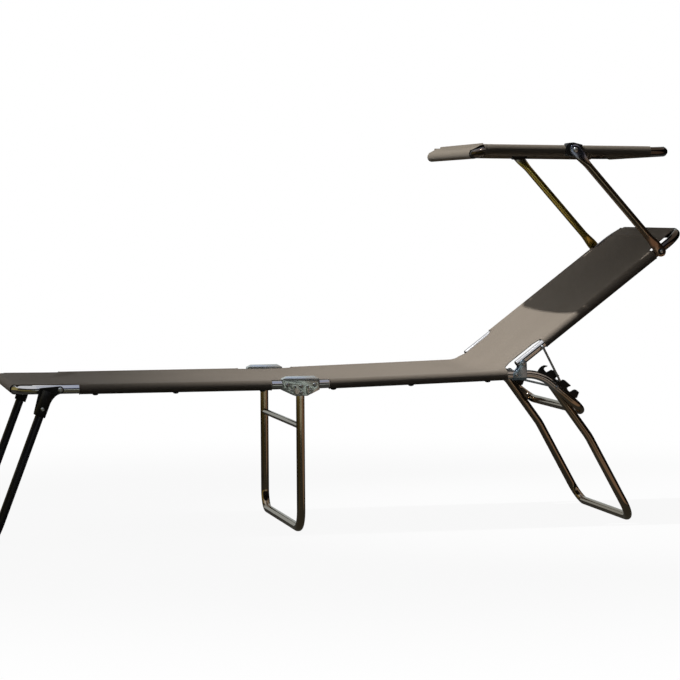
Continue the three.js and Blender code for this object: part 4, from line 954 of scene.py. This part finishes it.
def makeBedCloth():
    # one length of cloth in three pieces that share the edges where they meet
    line, marks = bedLine()
    total = line.reach[-1]
    dip = bed["sag"] * easeIn(np.minimum(line.reach, total - line.reach) / bed["ease"])
    across = bedWidths(line, marks)
    raised = slantingPulls(line, marks, across)
    half = (bed["turnHalf"], 0)
    footSleeve = (marks["footCut"], marks["footHinge"], onFoot)
    seatSleeve = (marks["seatHinge"], marks["share"], onSeat)
    tailSleeve = (marks["share"], marks["seatEnd"], onSeat)
    backSleeve = (marks["backStart"], marks["backEnd"], onBack)
    parts = {
        "bedClothFoot": dict(span=(0, marks["fold"]), sleeves=[footSleeve], node="foot_sling",
                             bodies=("foot_section", "middle_leg"), turn=(foldFoot - half, foldFoot + half),
                             hem=(0, 1, onFoot(-rail["footReach"], 0)), tubes=["foot_frame_tube"]),
        "bedClothSeat": dict(span=(marks["fold"], marks["share"]), sleeves=[seatSleeve], node="seat_sling",
                             bodies=("middle_leg", "seat_section"), turn=(foldSeat - half, foldSeat + half),
                             hem=None, tubes=["seat_frame_tube"]),
        "bedClothBack": dict(span=(marks["share"], total), sleeves=[tailSleeve, backSleeve],
                             node="back_sling", bodies=("seat_section", "backrest"),
                             turn=(onSeat(bed["seatEnd"], clothLift), onBack(bed["backStart"], clothLift)),
                             hem=(len(line.reach) - 1, -1, onBack(rail["backLength"], 0)),
                             tubes=["seat_frame_tube", "back_frame_tube"]),
    }
    for name, part in parts.items():
        makeBedPiece(name, part, line, across, dip, raised)


def makeBedPiece(name, part, line, across, dip, raised):
    # a piece's stretch of the sheet with its sleeves, its crossbar hem and the rolled hems between them
    rows = line.between(*part["span"])
    sheet = sheetGrid(line, rows, across, dip, raised)
    grids, ends = [sheet], {}
    for low, high, frameOf in part["sleeves"]:
        own = line.between(low, high)
        along, above = frameOf(1, 0) - frameOf(0, 0), frameOf(0, 1) - frameOf(0, 0)
        axis = frameOf((line.place[own] - frameOf(0, 0)) @ along, 0 * own)
        up = np.broadcast_to(above, axis.shape)
        for side, column in sheetSides:
            sheetEdge = sheet[0][own - rows[0], column]
            sleeve = sleeveGrid(line, own, side, sheetEdge, dip, bed["edge"], axis, up, arch=bed["arch"])
            grids.append(sleeve)
            ends[low, side], ends[high, side] = ([grid[end] for grid in sleeve] for end in (0, -1))
    if part["hem"]:
        row, inboard, bar = part["hem"]
        grids.append(hemGrid(line, row, inboard, across, bed["hemHalf"], bar))
    obj, area = sewn(name, grids)
    hems = []
    for low, high in freeRuns(part["span"], part["sleeves"]):
        for side, column in sheetSides:
            edge = [grid[line.between(low, high) - rows[0], column] for grid in sheet]
            hems.append(boundEdge(ends.get((low, side)), edge, ends.get((high, side))))
    joined(obj, hems)
    finishPiece(obj, None, "cloth", [part["node"]])
    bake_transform(obj)
    width = 2 * (rail["halfSpan"] + foldLength(rail["halfSpan"] - bed["edge"] + fabric["seam"]))
    length = part["span"][1] - part["span"][0] + foldLength(fabric["hemTurn"]) * bool(part["hem"])
    declareSheet(obj, (width, length), area)


def makeCanopyCloth():
    # one curved sheet: sag * (1 - share^4) along it, held by both side tubes and dipping with the foot-side
    # crank; it leaves the low crossbar along the tangent that reaches the side tubes' level
    sheetSizes = dict(sag=0.023, edge=0.245, hemHalf=0.236, sleeveFoot=0.241, sleeveHead=0.210, crank=0.016,
                      crankRound=0.006, crankSteps=(-0.008, -0.003, 0.003, 0.008))
    crankReach = sheetSizes["crank"] - shade["reach"]
    bar, crank = onCanopy(-shade["reach"], -shade["drop"]), onCanopy(crankReach, clothLift)
    rise = math.atan2(*(crank - bar)[::-1]) - math.asin(clothLift / np.linalg.norm(crank - bar))
    start = bar + clothLift * np.array([-math.sin(rise), math.cos(rise)])
    edges = [(onCanopy, u) for u in (-sheetSizes["sleeveFoot"], -shade["block"], shade["block"],
                                     sheetSizes["sleeveHead"])]
    near = [(onCanopy, crankReach + step) for step in sheetSizes["crankSteps"]]
    line = ClothLine([start, crank, onCanopy(shade["reach"], clothLift)], [0, sheetSizes["crankRound"], 0],
                     edges + near)
    marks = [line.reachAt(*edge) for edge in edges]
    total = line.reach[-1]
    dip = sheetSizes["sag"] * (1 - (line.reach / total * 2 - 1) ** 4)
    across = np.linspace(-sheetSizes["edge"], sheetSizes["edge"], fabric["columns"]) + 0 * line.reach[:, None]
    sheet = sheetGrid(line, np.arange(len(line.reach)), across, dip, 0 * across)
    grids = [sheet]
    for low, high in (marks[:2], marks[2:]):
        own = line.between(low, high)
        axis = line.place[own] - line.normal[own] * clothLift
        past = np.maximum(canopyPivot[0] - shade["reach"] + shade["crank"] - axis[:, :1], 0)
        for side, column in sheetSides:
            grids.append(sleeveGrid(line, own, side, sheet[0][own, column], dip, sheetSizes["edge"], axis,
                                    line.normal[own], fall=shade["drop"] / shade["crank"] * past))
    last = len(line.reach) - 1
    grids.append(hemGrid(line, 0, 1, across, sheetSizes["hemHalf"], bar))
    grids.append(hemGrid(line, last, -1, across, sheetSizes["hemHalf"],
                         line.place[last] - line.normal[last] * clothLift))
    obj, area = sewn("canopyCloth", grids)
    finishPiece(obj, "canopy", "cloth", ["canopy_cloth"], "canopy_cloth")
    width = 2 * (rail["halfSpan"] + foldLength(rail["halfSpan"] - sheetSizes["edge"] + fabric["seam"]))
    declareSheet(obj, (width, total + 2 * foldLength(fabric["hemTurn"])), area)


makeBedCloth()
makeCanopyCloth()
print("cloth ready")


def makeStuds():
    # black studs that hold the sleeves from below, each a dome: radius * cos(angle) wide and
    # rise * sin(angle) deep
    stud = dict(radius=0.0075, rise=0.0034, lower=0.0131, rings=6, sides=20,
                foot=(-0.527, -0.322, -0.098), seat=(0.087, 0.292, 0.497))
    angle = np.linspace(0, math.pi / 2, stud["rings"])[:, None]
    turn = np.linspace(0, 2 * math.pi, stud["sides"], endpoint=False)
    along, out = (stud["radius"] * np.cos(angle) * wave for wave in (np.cos(turn), np.sin(turn)))
    down = -stud["lower"] - stud["rise"] * np.sin(angle) + 0 * turn
    for body, frameOf, reaches in (("foot_section", onFoot, stud["foot"]),
                                   ("seat_section", onSeat, stud["seat"])):
        points, faces = [], []
        for u in reaches:
            for side in (-1, 1):
                place = frameOf(u, 0) + along[..., None] * (frameOf(1, 0) - frameOf(0, 0)) \
                    + down[..., None] * (frameOf(0, 1) - frameOf(0, 0))
                start = len(points) * along.size
                grid = np.stack([place[..., 0], side * rail["halfSpan"] + out, place[..., 1]], -1)
                faces += gridFaces(stud["rings"], stud["sides"], False, True, start)
                faces.append(list(range(start, start + stud["sides"]))[::-1])
                points.append(grid.reshape(-1, 3))
        obj = mended(meshObject("sleeveStuds_" + body, np.vstack(points), faces), merge=1e-5)
        finishPiece(obj, body, "black_plastic")


makeStuds()


# Floor, cards, light and world
def seenDirectly(look):
    # 1 for what the camera, a reflection or a clear surface shows
    path = look.node("ShaderNodeLightPath")
    kinds = [look.out(path, kind) for kind in ("Is Camera Ray", "Is Glossy Ray", "Is Transmission Ray")]
    return (kinds[0] + kinds[1] + kinds[2]).held()


def makeFloor():
    # a floor that shows the shadows near the object and goes white further off
    floor = dict(reach=40, white=0.93, nearReach=1.1, farReach=2.8, plain=(0.82, 0.82, 0.82, 1),
                 bounce=(0.06, 0.06, 0.06, 1))
    reach = floor["reach"]
    corners = [(-reach, -reach, 0), (reach, -reach, 0), (reach, reach, 0), (-reach, reach, 0)]
    obj = meshObject("studioFloor", corners, [(0, 1, 2, 3)], False)
    look = Finish("studioFloor")
    spread = look.out(look.node("ShaderNodeVectorMath", {"operation": "LENGTH"}, {0: look.place()}), "Value")
    between = {"Value": spread, "From Min": floor["nearReach"], "From Max": floor["farReach"]}
    away = look.out(look.node("ShaderNodeMapRange", {"interpolation_type": "SMOOTHSTEP"}, between))
    plain = look.node("ShaderNodeBsdfDiffuse", None, {"Color": floor["plain"]})
    dark = look.node("ShaderNodeBsdfDiffuse", None, {"Color": floor["bounce"]})
    white = look.node("ShaderNodeEmission", None, {"Color": (1, 1, 1, 1), "Strength": 1.0})
    shown = look.blended(away * (1 - floor["white"]) + floor["white"], look.out(plain), look.out(white))
    look.finished(look.blended(seenDirectly(look), look.out(dark), shown))
    obj.data.materials.append(look.material)


def makeCards():
    # walls, a lid and a ground that only reflections see, as flags and a warm card stand round a bright
    # object; the walls' and the lid's colours go by x, from 0 at the foot side to 1 at the head side
    card = dict(radius=5.0, height=3.6, rise=0.002, sides=48, low=0.60, high=0.75, backFrom=-0.125,
                backSoft=0.25, dark=(0.010, 0.009, 0.008), bright=(0.60, 0.66, 0.60),
                warm=(0.44, 0.31, 0.23), olive=(0.34, 0.28, 0.10), grey=(0.44, 0.47, 0.46),
                lidFoot=(0.92, 0.95, 1.0), lidMiddle=(0.42, 0.48, 0.66), lidHead=(0.46, 0.39, 0.33))
    ground = dict(warm=(0.37, 0.25, 0.17), olive=(0.060, 0.048, 0.012), dark=(0.016, 0.012, 0.008),
                  pale=(0.88, 0.90, 0.74), under=-0.42, underSoft=0.125, near=-3.45, nearSoft=0.125, far=-4.8,
                  farSoft=0.25, warmFrom=-0.1, warmSlant=0.6, oliveSlant=0.5, slantSoft=1 / 3, edgeSoft=0.025)
    turn = np.linspace(0, 2 * math.pi, card["sides"], endpoint=False)
    wall = card["radius"] * np.stack([np.cos(turn), np.sin(turn)], -1)
    points = [np.insert(wall, 2, level, axis=1) for level in (card["rise"], card["height"] + card["rise"])]
    faces = gridFaces(2, card["sides"], False, True)
    faces += [list(range(start, start + card["sides"])) for start in (0, card["sides"])]
    obj = meshObject("studioCards", np.vstack(points), faces, False)

    look = Finish("studioCards")
    x, y, height = look.parts(look.place())
    side = x * (0.5 / card["radius"]) + 0.5
    front = look.ramp(side, [(0.0, card["olive"]), (0.22, card["olive"]), (0.34, card["dark"]),
                             (0.46, card["bright"]), (0.60, card["bright"]), (0.67, card["warm"]),
                             (0.86, card["warm"]), (0.97, card["dark"])])
    back = look.ramp(side, [(0.10, card["olive"]), (0.22, card["dark"]), (0.32, card["grey"]),
                            (0.70, card["grey"]), (0.85, card["dark"])])
    lid = look.ramp(side, [(0.44, card["lidFoot"]), (0.475, card["lidMiddle"]), (0.54, card["lidMiddle"]),
                           (0.58, card["lidHead"])])
    lower = height.short(card["high"], card["high"] - card["low"])
    behind = y.past(card["backFrom"], card["backSoft"])
    walls = look.mix(behind, look.mix(lower, card["dark"], front), back)
    walls = look.mix(height.past(card["height"], card["rise"] / 2), walls, lid)

    # the ground is warm to the right of a slanting line and dim olive to the left of its mirror image, dark
    # between and behind them, with a pale strip near the front wall
    right = (x + y * ground["warmSlant"]).past(ground["warmFrom"], ground["slantSoft"])
    left = (x - y * ground["oliveSlant"]).short(0, ground["slantSoft"])
    sides = look.mix(right, look.mix(left, ground["dark"], ground["olive"]), ground["warm"])
    tones = look.mix(y.short(ground["under"], ground["underSoft"]), ground["dark"], sides)
    strip = y.short(ground["near"], ground["nearSoft"]) * y.past(ground["far"], ground["farSoft"])
    tones = look.mix(strip * (1 - right) * (1 - left), tones, ground["pale"])
    colour = look.mix(height.past(0, ground["edgeSoft"]), tones, walls)
    look.finished(look.out(look.node("ShaderNodeEmission", None, {"Color": colour, "Strength": 1.0})))
    obj.data.materials.append(look.material)
    for kind in ("camera", "diffuse", "transmission", "volume_scatter", "shadow"):
        setattr(obj, "visible_" + kind, False)


def makeLamp():
    # a lamp behind the foot end's side whose round of light fades towards the foot end
    light = dict(reach=9.0, direction=(-112, 6, 168), aim=(0.62, 0, 0.62), key=3.1, cone=16.4, soft=1.0,
                 width=0.10)
    toLamp = Vector(light["direction"]).normalized()
    lamp = bpy.data.objects.new("keyLamp", bpy.data.lights.new("keyLamp", "SPOT"))
    # a spot of power p gives p / (4 pi^2 d^2) on white at distance d
    lamp.data.energy = light["key"] / math.pi * 4 * math.pi ** 2 * light["reach"] ** 2
    lamp.data.spot_size, lamp.data.spot_blend = math.radians(light["cone"]), light["soft"]
    lamp.data.shadow_soft_size = light["width"]
    lamp.rotation_mode = "QUATERNION"
    lamp.rotation_quaternion = toLamp.to_track_quat("Z", "Y")
    lamp.location = Vector(light["aim"]) + toLamp * light["reach"]
    scene.collection.objects.link(lamp)


def makeWorld():
    # white where it is seen, and for the light that it gives: dim + sky * up + behind * away from the camera
    # + foot * towards the foot end
    given = dict(dim=0.02, sky=0.22, behind=0.20, foot=0.36)
    world = bpy.data.worlds.new("studioWorld")
    scene.world = world
    world.use_nodes = True
    look = Finish("studioWorld", world.node_tree)
    x, y, z = look.parts(look.out(look.node("ShaderNodeTexCoord"), "Generated"))
    plain = (z.held() * given["sky"] + y * given["behind"] - x * given["foot"] + given["dim"]).held()
    seen = seenDirectly(look)
    shown = look.out(look.node("ShaderNodeBackground", None, {"Color": (1, 1, 1, 1),
                                                              "Strength": seen + (1 - seen) * plain}))
    look.node("ShaderNodeOutputWorld", None, {"Surface": shown})


makeFloor()
makeCards()
makeLamp()
makeWorld()
scene.view_settings.view_transform = "Standard"
print("pieces:", len(pieces))
